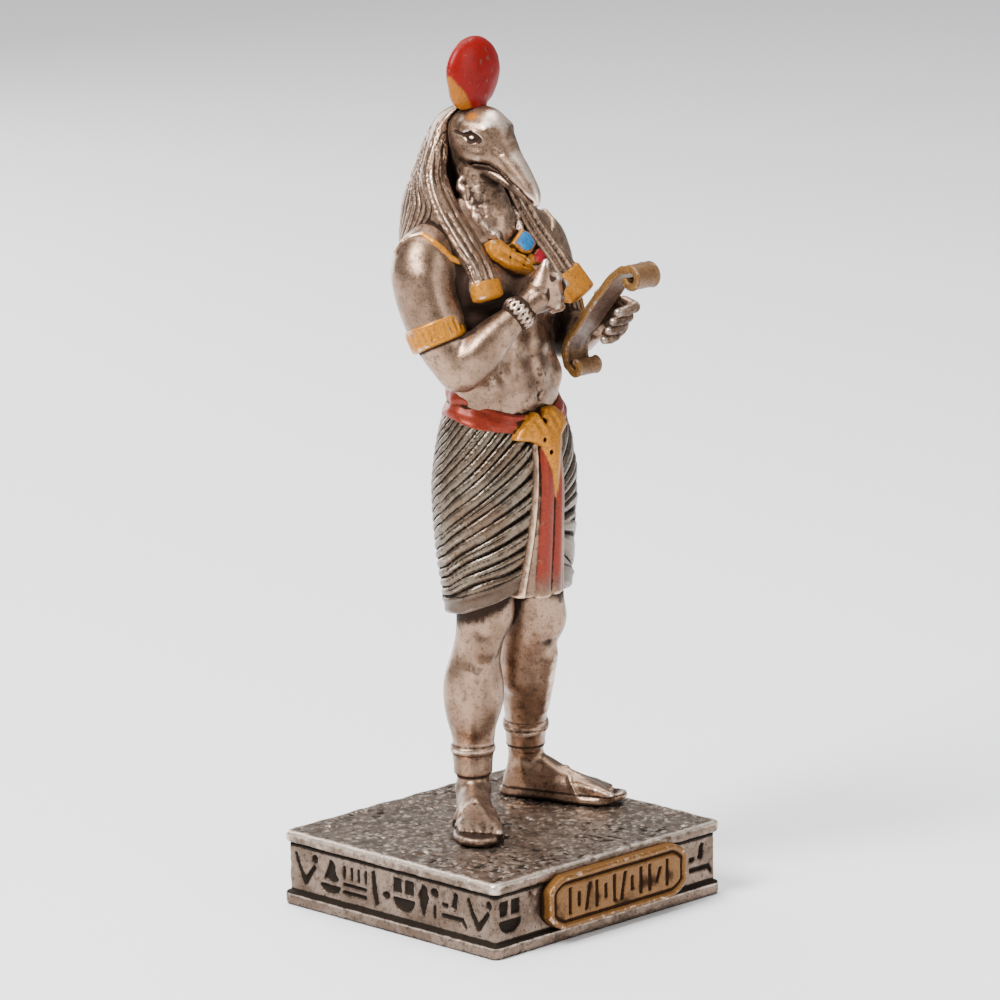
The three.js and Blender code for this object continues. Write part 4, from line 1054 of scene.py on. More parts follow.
def belt_form():
    def distance(x, y, z):
        smooth, angle = kilt_round(x, y, np.minimum(z, KILT_TOP))
        high = belt_high(angle)
        t = (z - belt_lower(angle)) / high
        wave = 0.05 * np.cos(2 * math.pi * (t * 2.2 + 0.25 + 0.2 * np.sin(np.radians(angle) * 2)))
        sag = 0.12 * noise(angle * 0.09, t * 3.3, 0 * z, 21)
        side = smooth_max(smooth - BELT_PROUD - wave - sag, -smooth - 1.3, 0.1)
        return smooth_max(side, (np.abs(t - 0.5) - 0.5) * high, 0.35)
    return Form([-6.4, -5.9, 39.0], [8.6, 6.6, 43.4], distance)


def buckle_form():
    def distance(x, y, z):
        smooth, _ = kilt_round(x, y, np.minimum(z, KILT_TOP))
        flat = outline_distance(x, z, BUCKLE)
        tongue = step_up(z, 33.0, 39.0)
        feather = 0.07 * np.cos((x + 0.5 * (z - 39)) * 5.5) * step_up(z, 39.0, 39.8)
        dome = 0.45 * np.clip(-flat, 0, 0.5) + feather
        d = smooth_max(smooth - (0.62 + 0.3 * tongue) - dome, flat, 0.2)
        return np.maximum(d, np.maximum(-smooth - 0.9, y))
    return Form([-2.4, -6.9, 32.4], [4.9, -2.5, 41.8], distance)


def apron_block():
    block = Block([-6.6, -7.2, 22.0], [8.9, 6.8, 43.6], 0.14)
    block.join(belt_form())
    block.join(strip(APRON_BASE, 0.35, -0.05))
    block.join(strip(APRON_BORDER, 0.55, -0.05), 0.08)
    block.join(strip(APRON_RED, 0.7), 0.08)
    block.join(strip(APRON_RED_FAR, 0.65), 0.08)
    block.join(buckle_form(), 0.05)
    for x, z in ((0.5, 38.7), (1.25, 37.4), (1.05, 40.3)):
        y = -5.9 if z < 40 else -5.4
        block.cut(rod([x, y - 1.5, z], [x, y + 0.55, z], 0.24), 0.1)
    return block


# Collar

COLLAR_STEPS = 12
CHEST_UP = (0.471, 0.882)
CHEST_OUT = (-0.882, 0.471)
WING = ((0.5, -2.9, 56.5), [
    (-3.65, 1.7), (-2.07, 1.57), (-1.03, 0.33), (0.03, -0.46), (0.46, -1.07), (0.71, -2.13), (0.26, -2.09),
    (-1.19, -1.67), (-2.55, -1.08), (-3.69, -0.05), (-3.91, 0.76),
])
BLUE_PAD = ((1.45, -2.4, 57.25), [
    (0.08, 1.34), (-1.76, 0.13), (-0.89, -1.05), (0.2, -1.14), (1.2, -0.39), (0.93, 0.75),
])
RED_PAD = ((3.35, -2.6, 55.75), [
    (0.04, 0.9), (-1.25, 0.13), (-1.2, -0.7), (-0.44, -0.95), (0.75, -0.54), (0.55, 0.6),
])
CLASP = ((5.0, -3.0, 54.5), [(-0.4, 0.63), (0.53, 0.3), (0.21, -0.44), (-0.59, -0.79), (-0.84, -0.04)])
SHOULDER_STRAP = [
    [-9.3, 4.0, 56.9], [-8.9, 3.5, 57.85], [-8.5, 2.8, 58.35], [-7.95, 2.0, 58.6], [-7.7, 0.7, 58.05],
    [-7.15, -0.1, 57.4], [-6.35, -0.5, 56.55], [-5.2, -0.7, 55.85],
]


def collar_row(share, round_by, forward, high, dip, half):
    angle = math.radians(-80 + 160 * share)
    c = math.cos(angle)
    return [0.5 + math.sin(angle) * round_by, 1.6 - c * forward, high - dip * c, half, 0.4]


def on_chest(place, x, y, z):
    """Coordinates across, up and out of a plate that leans as the chest does."""
    middle = place[0]
    up = (y - middle[1]) * CHEST_UP[0] + (z - middle[2]) * CHEST_UP[1]
    out = (y - middle[1]) * CHEST_OUT[0] + (z - middle[2]) * CHEST_OUT[1]
    return x - middle[0], up, out


def quills(across, up):
    """Long feathers that fan out from the wing's lower end."""
    fan = np.arctan2(up + 2.6, across - 1.2)
    reach = np.hypot(up + 2.6, across - 1.2)
    tips = bell(reach % 1.7 - 0.5, 0.1)
    return 0.12 * np.cos(fan * 21) - 0.08 * tips


def plate(place, dome=0.3, relief=None):
    """A thin plate on the chest, drawn square to it."""
    def distance(x, y, z):
        across, up, out = on_chest(place, x, y, z)
        edge = outline_distance(across, up, place[1])
        proud = dome * np.clip(-edge, 0, 0.6)
        if relief is not None:
            proud = proud + relief(across, up)
        return np.maximum(smooth_max(edge, out - 0.1 - proud, 0.15), -out - 1.7)
    x, y, z = place[0]
    return Form([x - 5.2, y - 2.2, z - 3.2], [x + 2.2, y + 3.2, z + 3.2], distance)


def collar_block():
    block = Block([-9.9, -5.2, 52.6], [9.9, 5.2, 60.4], 0.12)
    shares = [i / COLLAR_STEPS for i in range(COLLAR_STEPS + 1)]

    def rays(_, along):
        return 0.06 * np.cos(along * math.pi * 26)

    def band(front, *sizes):
        return sweep([collar_row(share, *sizes) for share in shares], front, 2, 2.6, rays)

    block.join(band((0, -0.8, 0.6), 3.6, 3.5, 58.6, 2.0, 0.45))
    block.join(band((0, -0.9, 0.45), 4.7, 4.1, 58.3, 3.0, 0.6), 0.05)
    for form in (plate(BLUE_PAD), plate(RED_PAD), plate(CLASP, 0.5), plate(WING, 0.35, quills)):
        block.join(form, 0.05)
    for strap in (SHOULDER_STRAP, [[0.6 - x, y, z] for x, y, z in SHOULDER_STRAP]):
        block.join_all(chain(settled(strap, body, -0.1), 0.36))
    return block


# Head and neck

NECK = [
    [0, 3.4, 65.6, 2.2, 2.3], [0, 2.4, 62.6, 2.05, 2.15], [0, 1.6, 60.6, 2.25, 2.3],
    [0, 1.0, 58.7, 2.5, 2.5], [0, 0.9, 57.0, 2.6, 2.4],
]
HEAD = [
    [0, 5.4, 67.8, 1.4, 1.5], [0, 3.7, 67.1, 2.6, 2.7], [0, 2.1, 66.8, 2.7, 2.95],
    [0, 0.8, 66.5, 2.35, 2.7], [0, -0.3, 65.9, 1.95, 2.1], [0, -1.5, 65.15, 1.55, 1.45],
    [0, -2.7, 64.2, 1.3, 1.2], [0, -3.8, 63.2, 1.05, 1.0], [0, -4.7, 62.25, 0.8, 0.8],
    [0, -5.2, 61.5, 0.4, 0.45],
]
LOWER_BEAK = [
    [0, 2.3, 64.0, 1.7, 0.8], [0, 0.5, 63.95, 1.35, 0.7], [0, -1.3, 63.3, 1.05, 0.6],
    [0, -2.9, 62.55, 0.85, 0.5], [0, -4.4, 61.75, 0.6, 0.4], [0, -5.1, 61.35, 0.3, 0.25],
]
MOUTH = [(1.6, 64.75), (0.9, 64.95), (-0.4, 64.75), (-2.0, 63.85), (-3.7, 62.75), (-5.1, 61.6)]
EYE = (0.85, 67.35)
EYE_HALF = (0.85, 0.34)
NOSTRIL = [(-1.3, 66.35), (-1.9, 65.95)]
RUFF = [
    [-2.1, 2.6, 62.6], [-2.2, 2.1, 61.3], [-2.35, 1.0, 60.2], [-2.25, 0.1, 59.2],
    [-1.95, -0.7, 58.3], [-1.5, -1.1, 57.8],
]


def almond(y, z):
    """Signed distance from the outline of the eye, seen from the side."""
    u = (y - EYE[0]) * 0.98 + (z - EYE[1]) * 0.2
    v = (z - EYE[1]) * 0.98 - (y - EYE[0]) * 0.2
    half, high = EYE_HALF
    radius = (half * half + high * high) / (2 * high)
    return np.hypot(u, np.abs(v) + radius - high) - radius, u, v


def head_relief(x, y, z):
    """Lids, nostrils and the line of the mouth, raised and sunk."""
    ring, u, v = almond(y, z)
    side = step_up(np.abs(x), 1.2, 1.7)
    upper = 0.45 + 0.55 * step_up(v, -0.15, 0.15)
    lids = upper * (0.08 * bell(ring - 0.28, 0.16) - 0.24 * bell(ring, 0.13))
    ball_rise = 0.12 * step_up(-ring, 0.08, 0.3)
    tail = -0.2 * bell(v, 0.12) * step_up(u, 0.8, 1.1) * (1 - step_up(u, 1.9, 2.3))
    rise = side * (lids + ball_rise + tail)
    mouth, _ = line_distance(y, z, MOUTH)
    rise = rise - 0.34 * bell(mouth, 0.14) * step_up(np.abs(x), 0.25, 0.5)
    nostril, _ = line_distance(y, z, NOSTRIL)
    return rise - 0.12 * bell(nostril, 0.13) * step_up(np.abs(x), 0.7, 1.0)


def neck_relief(angle, along):
    """Ruffled feathers down the sides of the neck, smooth in front."""
    front = bell(np.degrees(angle) - 75, 30)
    lumps = noise(angle * 3.4, along * 17.0, 0 * angle, 31)
    lumps = lumps + 0.7 * noise(angle * 7, along * 34.0, 0 * angle, 33)
    return 0.13 * lumps * (1 - 0.85 * front)


def head_block():
    block = Block([-3.5, -6.2, 56.6], [3.5, 7.2, 70.9], 0.1)
    block.join(sweep(HEAD, (0, -0.3, 1), 6))
    block.join(ball([0, 1.4, 67.5], [2.05, 2.4, 2.4]), 0.7)
    for i, (x, y, z) in enumerate(smooth_rows(RUFF, 4)):
        for side in (-1, 1):
            for k in range(2):
                shift = [0.9 * hashed(np.int64(i), k, m + 3 * side, 61) - 0.45 for m in range(3)]
                place = [side * (abs(x) + shift[0] * 0.5), y + shift[1], z + shift[2]]
                size = 0.26 + 0.16 * hashed(np.int64(i), k, side, 62)
                block.join(ball(place, [size, size, size * 1.3]), 0.35)
    for side in (-1, 1):
        block.join(rod([side * 1.95, 2.1, 68.3], [side * 1.6, -0.1, 68.0], 0.4, 0.3), 0.8)
        block.join(ball([side * 1.9, 1.4, 65.6], [0.8, 1.7, 0.9]), 0.7)
    lower = sweep(LOWER_BEAK, UP, 5)
    block.join(lower, 0.12)
    block.join(ball([0, 2.4, 64.3], [1.9, 1.7, 1.4]), 0.5)
    block.emboss([-3.5, -6.2, 60.5], [3.5, 5, 69.5], head_relief)
    block.join(sweep(NECK, FRONT, 5, 2.0, neck_relief), 0.25)
    return block


# Wig and its two lappets

WIG = [
    [3.3, 70.1, 1.0, 1.1, 94], [3.7, 69.1, 2.4, 2.7, 88], [4.0, 67.6, 3.4, 3.6, 87],
    [4.3, 65.5, 4.2, 4.2, 93], [4.3, 63.2, 5.2, 4.9, 100], [4.3, 61.0, 6.1, 5.5, 122],
    [4.3, 59.0, 6.5, 5.7, 116], [4.3, 57.0, 6.7, 5.7, 98], [4.3, 54.6, 6.6, 5.2, 88],
    [4.3, 52.2, 6.4, 4.8, 82],
]
WIG_FINE = smooth_rows(WIG, 5)[::-1]
WIG_STRANDS = 17
WIG_SEED = 41
LAPPET_SEED = 43
WIG_HIGH, WIG_LOW = WIG[0][1], WIG[-1][1]
NEAR_LAPPET = [
    [2.6, 4.6, 68.3, 0.4, 0.5], [3.6, 4.3, 66.0, 0.9, 0.9], [4.3, 4.1, 63.6, 1.2, 1.05],
    [4.6, 2.5, 60.6, 1.45, 1.15], [4.5, 0.2, 57.8, 1.5, 1.1], [4.35, -1.9, 55.4, 1.45, 0.95],
    [4.35, -2.8, 53.3, 1.45, 0.85],
]
FAR_LAPPET = [
    [2.6, 4.6, 68.3, 0.4, 0.5], [3.5, 4.0, 66.0, 0.9, 0.9], [3.6, 2.6, 63.4, 1.3, 1.1],
    [3.6, 0.9, 60.4, 1.45, 1.15], [4.1, -0.8, 57.8, 1.5, 1.05], [5.0, -2.6, 55.2, 1.5, 0.95],
    [6.3, -4.0, 52.3, 1.7, 0.85],
]
LAPPETS = ((-1, NEAR_LAPPET, 0.3), (1, FAR_LAPPET, 0.45))


def strands(place, along, seed):
    """Height of round strands, and how dark the grooves between them are; place counts strands."""
    p = place + 0.3 * noise(place * 0.5, along * 0.35, 0 * place, seed)
    index = np.floor(p)
    f = p - index
    strength = np.clip(0.8 + 0.5 * noise(index * 5.1, along * 0.22, 0 * place, seed + 1), 0.4, 1.2)
    ridge = np.clip(4 * f * (1 - f), 0, 1) ** 0.55
    fine = 0.03 * np.cos(2 * math.pi * (f * 3 + 0.5))
    groove = at_both_ends(f, 0.13) * strength
    return (ridge - 0.75) * 0.4 * strength + fine, groove


def wig_place(x, y, z):
    """Distance from the wig without its strands, the angle round it and how far it is covered."""
    cy, wide, deep, cover = (np.interp(z, WIG_FINE[:, 1], WIG_FINE[:, k]) for k in (0, 2, 3, 4))
    cover = cover * np.ones_like(wide)
    dy = y - cy
    k = np.sqrt((x / wide) ** 2 + (dy / deep) ** 2) + 1e-4
    angle = np.degrees(np.arctan2(x / wide, dy / deep))
    return np.sqrt(x * x + dy * dy) * (1 - 1 / k), angle, cover


def strands_shown(share, z):
    """How deep the wig's strands are cut: shallow at the crown, gone under the lappets."""
    under = step_up(np.abs(share), 0.86, 0.92) * (1 - step_up(z, 62.0, 64.0))
    return (1 - 0.85 * step_up(z, 66.0, 69.6)) * (1 - under)


def wig_distance(x, y, z):
    outer, angle, cover = wig_place(x, y, z)
    skin = np.abs(outer) < 0.8
    tall = np.broadcast_to(z, outer.shape)[skin]
    share = (angle / cover)[skin]
    outer = outer.copy()
    outer[skin] -= strands(share * WIG_STRANDS, tall, WIG_SEED)[0] * strands_shown(share, tall)
    cy, wide, deep = (np.interp(z, WIG_FINE[:, 1], WIG_FINE[:, k]) for k in (0, 2, 3))
    edge_x = np.sin(np.radians(cover)) * wide
    edge_y = cy + np.cos(np.radians(cover)) * deep
    chord = cy + np.cos(np.radians(cover)) * deep * 0.6 + 0.6
    face = chord + (edge_y - chord) * step_up(np.abs(x), 0.45 * wide, edge_x)
    ends = np.maximum(WIG_LOW + 0.25 * np.cos(angle / 9) - z, z - WIG_HIGH)
    return smooth_max(smooth_max(outer, face - y, 0.5), ends, 0.2)


def lappet_rows(side, rows):
    return [[side * row[0], *row[1:]] for row in rows]


def lappet_strands(angle, along):
    place = (np.degrees(angle) - 90) / 30
    shown = np.clip(np.sin(angle) * 2 + 1.2, 0, 1) * (1 - step_up(along, 0.93, 0.97))
    return strands(place, along * 14, LAPPET_SEED)[0] * shown


def lappet(side, rows):
    return sweep(lappet_rows(side, rows), (0, -1, 0.25), 5, 2.6, lappet_strands, cap=0.3)


def lappet_band(side, rows, share):
    placed = lappet_rows(side, rows)
    end, before = np.array(placed[-1]), np.array(placed[-2])
    start = end + (before - end) * share
    grow = np.array([0, 0, 0, 0.2, 0.2])
    return sweep([start + grow, end - (before - end) * 0.22 + grow], (0, -1, 0.1), 2, 3.0, cap=0.35)


def wig_block():
    block = Block([-7.5, -5.9, 51.0], [9.0, 10.6, 70.9], 0.15)
    block.join(Form([-7.2, -0.5, 51.8], [7.2, 10.4, 70.5], wig_distance))
    for side, rows, share in LAPPETS:
        block.join(lappet(side, rows), 0.45)
        block.join(lappet_band(side, rows, share), 0.04)
    return block


# Sun disc

DISC_RADIUS = 3.35
DISC_HALF = 1.4
DISC_MIDDLE = 3.0
DISC_BOX = ([-3.9, 1.2, 68.4], [3.9, 4.9, 77.0])


def disc_block():
    block = Block(*DISC_BOX, 0.16)
    centre = [0, DISC_MIDDLE, PARTS_HIGH - DISC_RADIUS]
    block.join(ball(centre, [DISC_RADIUS, DISC_HALF, DISC_RADIUS]))
    block.join(ball([-0.3, DISC_MIDDLE, 71.2], [2.5, 1.35, 1.8]), 0.6)
    block.join(rod([0, DISC_MIDDLE, 68.9], [0, DISC_MIDDLE, 70.0], 1.35, 1.3), 0.2)
    block.emboss(*DISC_BOX, lambda x, y, z: 0.05 * noise(x, y, z, 51, 1.3))
    return block


# Plinth, in the same parts, with its top at zero

PLINTH_X, PLINTH_Y = plinth_high[0] / PART, plinth_high[1] / PART
PLINTH_BOTTOM = -DECK / PART
TOP_SLAB = 1.35
FOOT_SLAB = 1.4
RECESS = 0.5
MARK_DEPTH = 0.35
MARK_MARGIN = 0.6
CORNER = 0.8
SLAB_ROUND = 0.42
SLAB_SKIN = 0.03
FRIEZE_LOW = PLINTH_BOTTOM + FOOT_SLAB
FRIEZE_HIGH = -TOP_SLAB


def crumble(x, y, z):
    """The pitted skin of the plinth's top."""
    lumps = 0.06 * noise(x, y, z, 61, 0.9) + 0.06 * noise(x, y, z, 62, 1.9)
    pits = np.clip(noise(x, y, z, 63, 1.9) - 0.3, 0, 1)
    return (lumps - 0.55 * pits * from_edge(x, y)).astype(np.float32)


def from_edge(x, y):
    """0 at the rim of the plinth's top, 1 further in."""
    return step_up(-np.maximum(np.abs(x) - PLINTH_X, np.abs(y) - PLINTH_Y), 0.5, 1.3)


def paint_slab(coat, p, n):
    x, y, z = p.T
    rough = 0.35 + 0.65 * step_up(noise(x * 0.16, y * 0.16, 0 * z, 66), -0.4, 0.3)
    pits = step_up(noise(x, y, z, 63, 1.9), 0.26, 0.45)
    grains = step_up(noise(x, y, z, 64, 3.1), 0.3, 0.55)
    flakes = step_up(noise(x, y, z, 65, 3.4), 0.3, 0.6)
    dirty = from_edge(x, y) * rough * (1.2 * pits + 0.8 * grains)
    # The top face is made lighter all over, most on the flakes.
    return dirty - (0.34 + 0.8 * flakes) * step_up(z, -0.5, -0.2)


def from_corner(a, b):
    """Distance from the corner of two faces, given the distance from each."""
    return np.hypot(np.clip(a, 0, None), np.clip(b, 0, None)) + np.minimum(np.maximum(a, b), 0)


def top_slab_block():
    block = Block([-16.1, -14.9, -1.75], [16.1, 14.9, 0.4], 0.19)

    def distance(x, y, z):
        across = np.abs(x) - (PLINTH_X - SLAB_SKIN - CORNER)
        flat = from_corner(across, np.abs(y) - (PLINTH_Y - SLAB_SKIN - CORNER)) - CORNER
        high = np.abs(z + TOP_SLAB / 2 + SLAB_SKIN) - (TOP_SLAB / 2 - SLAB_SKIN)
        return from_corner(flat + SLAB_ROUND, high + SLAB_ROUND) - SLAB_ROUND

    block.join(Form([-15.7, -14.5, -1.4], [15.7, 14.5, 0], distance))

    def rise(x, y, z):
        return crumble(x, y, z) * (0.45 + 0.55 * step_up(z, -0.5, -0.15)) - 0.05

    block.emboss([-16.2, -15, -1.8], [16.2, 15, 0.5], rise)
    return block


def bar(x0, y0, x1, y1):
    return [(x0, y0), (x1, y0), (x1, y1), (x0, y1)]


def arc(x, y, rx, ry, start=0, end=2 * math.pi, steps=14):
    turns = [start + (end - start) * i / steps for i in range(steps + 1)]
    return [(x + math.cos(t) * rx, y + math.sin(t) * ry) for t in turns]


def oval(x, y, rx, ry):
    return arc(x, y, rx, ry)[:-1]


def bowl(x, y, rx, ry):
    return arc(x, y, rx, ry, math.pi, 2 * math.pi)


# The outlines of each sunk mark in a unit square. They stand for an inscription and spell nothing.
MARKS = [
    [bar(0.1, 0.56, 0.42, 0.96), bar(0.54, 0.56, 0.88, 0.96), bowl(0.5, 0.42, 0.42, 0.36)],
    [
        [(0.3, 0.02), (0.18, 0.35), (0.12, 0.68), (0.26, 0.98), (0.44, 0.9), (0.5, 0.62), (0.4, 0.3)],
        oval(0.72, 0.82, 0.15, 0.13), bar(0.66, 0.1, 0.78, 0.48),
    ],
    [
        [(0.06, 0.2), (0.78, 0.2), (0.94, 0.02), (1.0, 0.1), (0.86, 0.32), (0.06, 0.32)],
        bar(0.06, 0.5, 0.3, 0.62), [(0.4, 0.55), (0.52, 0.98), (0.66, 0.95), (0.6, 0.5)],
    ],
    [
        [(0.05, 0.9), (0.2, 0.5), (0.42, 0.06), (0.56, 0.12), (0.9, 0.62), (0.8, 0.7), (0.5, 0.32),
         (0.3, 0.6), (0.14, 0.96)],
        oval(0.86, 0.86, 0.12, 0.12),
    ],
    [
        [(0.2, 0.38), (0.34, 0.62), (0.5, 0.98), (0.66, 0.9), (0.72, 0.6), (0.84, 0.44), (0.6, 0.34),
         (0.4, 0.42)],
        bowl(0.5, 0.26, 0.4, 0.24),
    ],
    [
        bar(0.04, 0.32, 0.98, 0.42), bar(0.04, 0.1, 0.98, 0.2),
        *(bar(x, 0.52, x + 0.1, 0.9) for x in (0.06, 0.34, 0.62, 0.86)),
    ],
    [
        [(0.36, 0.0), (0.24, 0.4), (0.2, 0.96), (0.34, 0.98), (0.4, 0.6), (0.5, 0.1)],
        oval(0.78, 0.4, 0.14, 0.1),
    ],
]


def mark_field(along, up, length, count, first, hidden):
    """How deep the marks sink, from 0 to 1, over one side's own plane."""
    size = FRIEZE_HIGH - FRIEZE_LOW - 2 * MARK_MARGIN
    start = MARK_MARGIN + RECESS
    pitch = (length - 2 * start) / count
    sunk = np.zeros(np.broadcast_shapes(along.shape, up.shape), np.float32)
    for i in range(count):
        middle = -length / 2 + start + pitch * (i + 0.5)
        if hidden and abs(middle - PLAQUE_SHIFT) < hidden:
            continue
        near = np.abs(along - middle) < size
        for shape in MARKS[(i + first) % len(MARKS)]:
            placed = [(middle + (x - 0.5) * size, FRIEZE_LOW + MARK_MARGIN + y * size) for x, y in shape]
            d = outline_distance(np.where(near, along, middle + size), up, placed)
            sunk = np.maximum(sunk, np.where(near, 1 - step_up(d, -0.16, 0.06), 0))
    return sunk


def ring_path(spacing):
    """Points, outward ways, side numbers and lengths along the side, round the plinth's edge."""
    rows = []
    corners = [(1, -1, -90), (1, 1, 0), (-1, 1, 90), (-1, -1, 180)]
    half = [PLINTH_X - CORNER, PLINTH_Y - CORNER]
    for k, (sx, sy, start) in enumerate(corners):
        steps = max(int(CORNER * math.pi / 2 / spacing), 6)
        for i in range(steps + 1):
            angle = math.radians(start + 90 * i / steps)
            way = (math.cos(angle), math.sin(angle))
            rows.append([sx * half[0] + CORNER * way[0], sy * half[1] + CORNER * way[1], *way, -1, 0])
        length = 2 * (half[1] if k % 2 == 0 else half[0])
        way = [(1, 0), (0, 1), (-1, 0), (0, -1)][k]
        steps = int(length / spacing)
        for i in range(1, steps):
            run = -length / 2 + length * i / steps
            x = way[0] * PLINTH_X - way[1] * run
            y = way[1] * PLINTH_Y + way[0] * run
            rows.append([x, y, *way, k, run])
    return np.array(rows)


def wall_profile():
    """Heights and insets up the wall, evenly spaced along its bends."""
    low, high = FRIEZE_LOW, FRIEZE_HIGH
    bends = np.array([
        (PLINTH_BOTTOM, 1.2), (PLINTH_BOTTOM, 0.35), (PLINTH_BOTTOM + 0.1, 0.1), (PLINTH_BOTTOM + 0.4, 0.0),
        (low - 0.4, 0.0), (low - 0.1, 0.1), (low, 0.4), (low + 0.02, RECESS), (high - 0.02, RECESS),
        (high, RECESS + 0.3), (high + 0.3, RECESS + 0.5),
    ])
    lengths = np.hypot(*(bends[1:] - bends[:-1]).T)
    gone = np.concatenate([[0], np.cumsum(lengths)])
    along = np.linspace(0, gone[-1], int(gone[-1] / WALL_ROW))
    return (np.interp(along, gone, bends[:, k]) for k in (0, 1))


def plinth_wall():
    """The plinth below its top slab: foot slab, recessed frieze with its marks, and underside."""
    ring = ring_path(WALL_COLUMN)
    low, high = FRIEZE_LOW, FRIEZE_HIGH
    heights, inset = wall_profile()
    up = np.repeat(heights[None, :], len(ring), 0)
    sunk = np.zeros_like(up)
    for k, (length, count, first, hidden) in enumerate(FRIEZE_SIDES):
        own = ring[:, 4] == k
        sunk[own] = mark_field(ring[own, 5][:, None], up[own], length, count, first, hidden)
    on_frieze = step_up(up, low + 0.05, low + 0.15) * (1 - step_up(up, high - 0.15, high - 0.05))
    x, y, way_x, way_y = (ring[:, k][:, None] for k in range(4))
    rough = 0.05 * noise(x, y, up, 71, 1.1) + 0.04 * noise(x, y, up, 72, 2.4)
    rough = rough - 0.05 - 0.12 * np.clip(noise(x, y, up, 73, 2.9) - 0.35, 0, 1)
    depth = inset[None, :] + MARK_DEPTH * sunk * on_frieze
    depth = depth - rough * step_up(up, PLINTH_BOTTOM, PLINTH_BOTTOM + 0.3)
    points = np.stack([x - way_x * depth, y - way_y * depth, up], 2).reshape(-1, 3)
    index = np.arange(up.size).reshape(up.shape)
    after = np.roll(index, -1, axis=0)
    quads = np.stack([index[:, :-1], after[:, :-1], after[:, 1:], index[:, 1:]], 2).reshape(-1, 4)
    fan = np.stack([index[:, 0], np.full(len(ring), len(points)), after[:, 0]], 1)
    # Painted shade in the frieze's inner corners, most under the overhang of the top slab.
    corner = step_up(-np.abs(up - low), -0.35, 0.0) + step_up(-np.abs(up - high), -0.5, 0.0)
    dirt_and_shade = np.clip(1.3 * sunk * on_frieze + 1.1 * corner, 0, 1.3)
    # The wall is also made darker along its bottom edge.
    dirt_and_shade = dirt_and_shade + 0.5 * (1 - step_up(up, PLINTH_BOTTOM, PLINTH_BOTTOM + 0.35))
    dirt_and_shade, wear_and_highlight = (np.append(mask.ravel(), 0) for mask in (dirt_and_shade, 0.8 * bell(up - low + 0.3, 0.18)))
    points = np.vstack([points, [[0, 0, PLINTH_BOTTOM]]])
    return points, [quads, fan], np.clip(dirt_and_shade + WALL_DARKENING, 0, 1.4), np.clip(wear_and_highlight - WALL_DARKENING, 0, 1)


# Name plaque

PLAQUE_WIDE, PLAQUE_THICK, PLAQUE_TALL = (plaque_high - plaque_low) / PART
PLAQUE_SHIFT = (plaque_low[0] + plaque_high[0]) / 2 / PART
PLAQUE_MIDDLE = (plaque_low[2] + plaque_high[2]) / 2 / PART - DECK / PART
PLAQUE_HIDES = PLAQUE_WIDE / 2 + (FRIEZE_HIGH - FRIEZE_LOW) / 2 - MARK_MARGIN
PLAQUE_RIM = 0.6
PLAQUE_GROOVE = 0.3
PLAQUE_STROKES = 12
ENGRAVED = 0.3

# Each side of the frieze: its length, how many marks, which mark comes first, and how much the plaque hides
FRIEZE_SIDES = [
    (2 * PLINTH_Y, 8, 2, 0), (2 * PLINTH_X, 5, 1, 0),
    (2 * PLINTH_Y, 8, 3, 0), (2 * PLINTH_X, 10, 0, PLAQUE_HIDES),
]
WALL_COLUMN = 0.155
WALL_ROW = 0.15
# How much darker, and how much less rubbed, the walls are painted all over than the top.
WALL_DARKENING = 0.18


def plaque_outline():
    x, y = PLAQUE_WIDE / 2 - 0.05, PLAQUE_TALL / 2 - 0.05
    cut_x, cut_y = 0.36 * PLAQUE_TALL, 0.26 * PLAQUE_TALL
    quarter = []
    for i in range(9):
        t = i / 8
        a, b, c = (1 - t) ** 2, 2 * t * (1 - t), t * t
        across = a * (x - cut_x) + b * (x - cut_x * 0.25) + c * x
        quarter.append((across, a * y + b * (y - cut_y * 0.35) + c * (y - cut_y)))
    right = quarter + [(u, -v) for u, v in quarter[::-1]]
    return right + [(-u, -v) for u, v in right]


def plaque_strokes():
    """Upright and leaning strokes stand in for a name and spell nothing."""
    field = PLAQUE_WIDE - 2 * PLAQUE_RIM - 2 * PLAQUE_GROOVE - 0.5 * PLAQUE_TALL
    pitch = field / PLAQUE_STROKES
    tall = PLAQUE_TALL - 2 * PLAQUE_RIM - 2 * PLAQUE_GROOVE - 0.9
    strokes = []
    for i in range(PLAQUE_STROKES):
        x = -field / 2 + pitch * (i + 0.5)
        height = tall * 0.55 if i % 3 == 1 else tall
        lean = 0.28 if i % 4 == 2 else 0
        w = pitch * 0.2
        foot = [(x - w - lean, -height / 2), (x + w - lean, -height / 2)]
        strokes.append(foot + [(x + w + lean, height / 2), (x - w + lean, height / 2)])
    return strokes


def plaque_depth(x, z):
    """How far the face is sunk, and the signed distance from the outline."""
    u, v = x - PLAQUE_SHIFT, z - PLAQUE_MIDDLE
    flat = outline_distance(u, v, plaque_outline())
    groove = bell(flat + PLAQUE_RIM + PLAQUE_GROOVE / 2, 0.17)
    field = step_up(-flat, PLAQUE_RIM, PLAQUE_RIM + 0.3) * 0.1
    rim = 0.1 * step_up(-flat, 0.0, 0.25)
    depth = 0.1 - rim + field + ENGRAVED * groove
    for stroke in plaque_strokes():
        d = outline_distance(u, v, stroke)
        depth = np.maximum(depth, ENGRAVED * 1.2 * (1 - step_up(d, -0.14, 0.1)))
    return depth + 0.025 * noise(x * 2.2, z * 2.2, 0 * z, 81), flat


def plaque_block():
    front = -PLINTH_Y - PLAQUE_THICK
    low = [PLAQUE_SHIFT - PLAQUE_WIDE / 2 - 0.3, front - 0.3, PLAQUE_MIDDLE - PLAQUE_TALL / 2 - 0.3]
    high = [PLAQUE_SHIFT + PLAQUE_WIDE / 2 + 0.3, -PLINTH_Y + 0.45, PLAQUE_MIDDLE + PLAQUE_TALL / 2 + 0.3]
    block = Block(low, high, 0.105)

    def distance(x, y, z):
        depth, flat = plaque_depth(x, z)
        return smooth_max((front + 0.04 + depth - y) * 0.8, flat + 0 * y, 0.12)

    block.join(Form(low, high, distance))
    return block


# Shaders

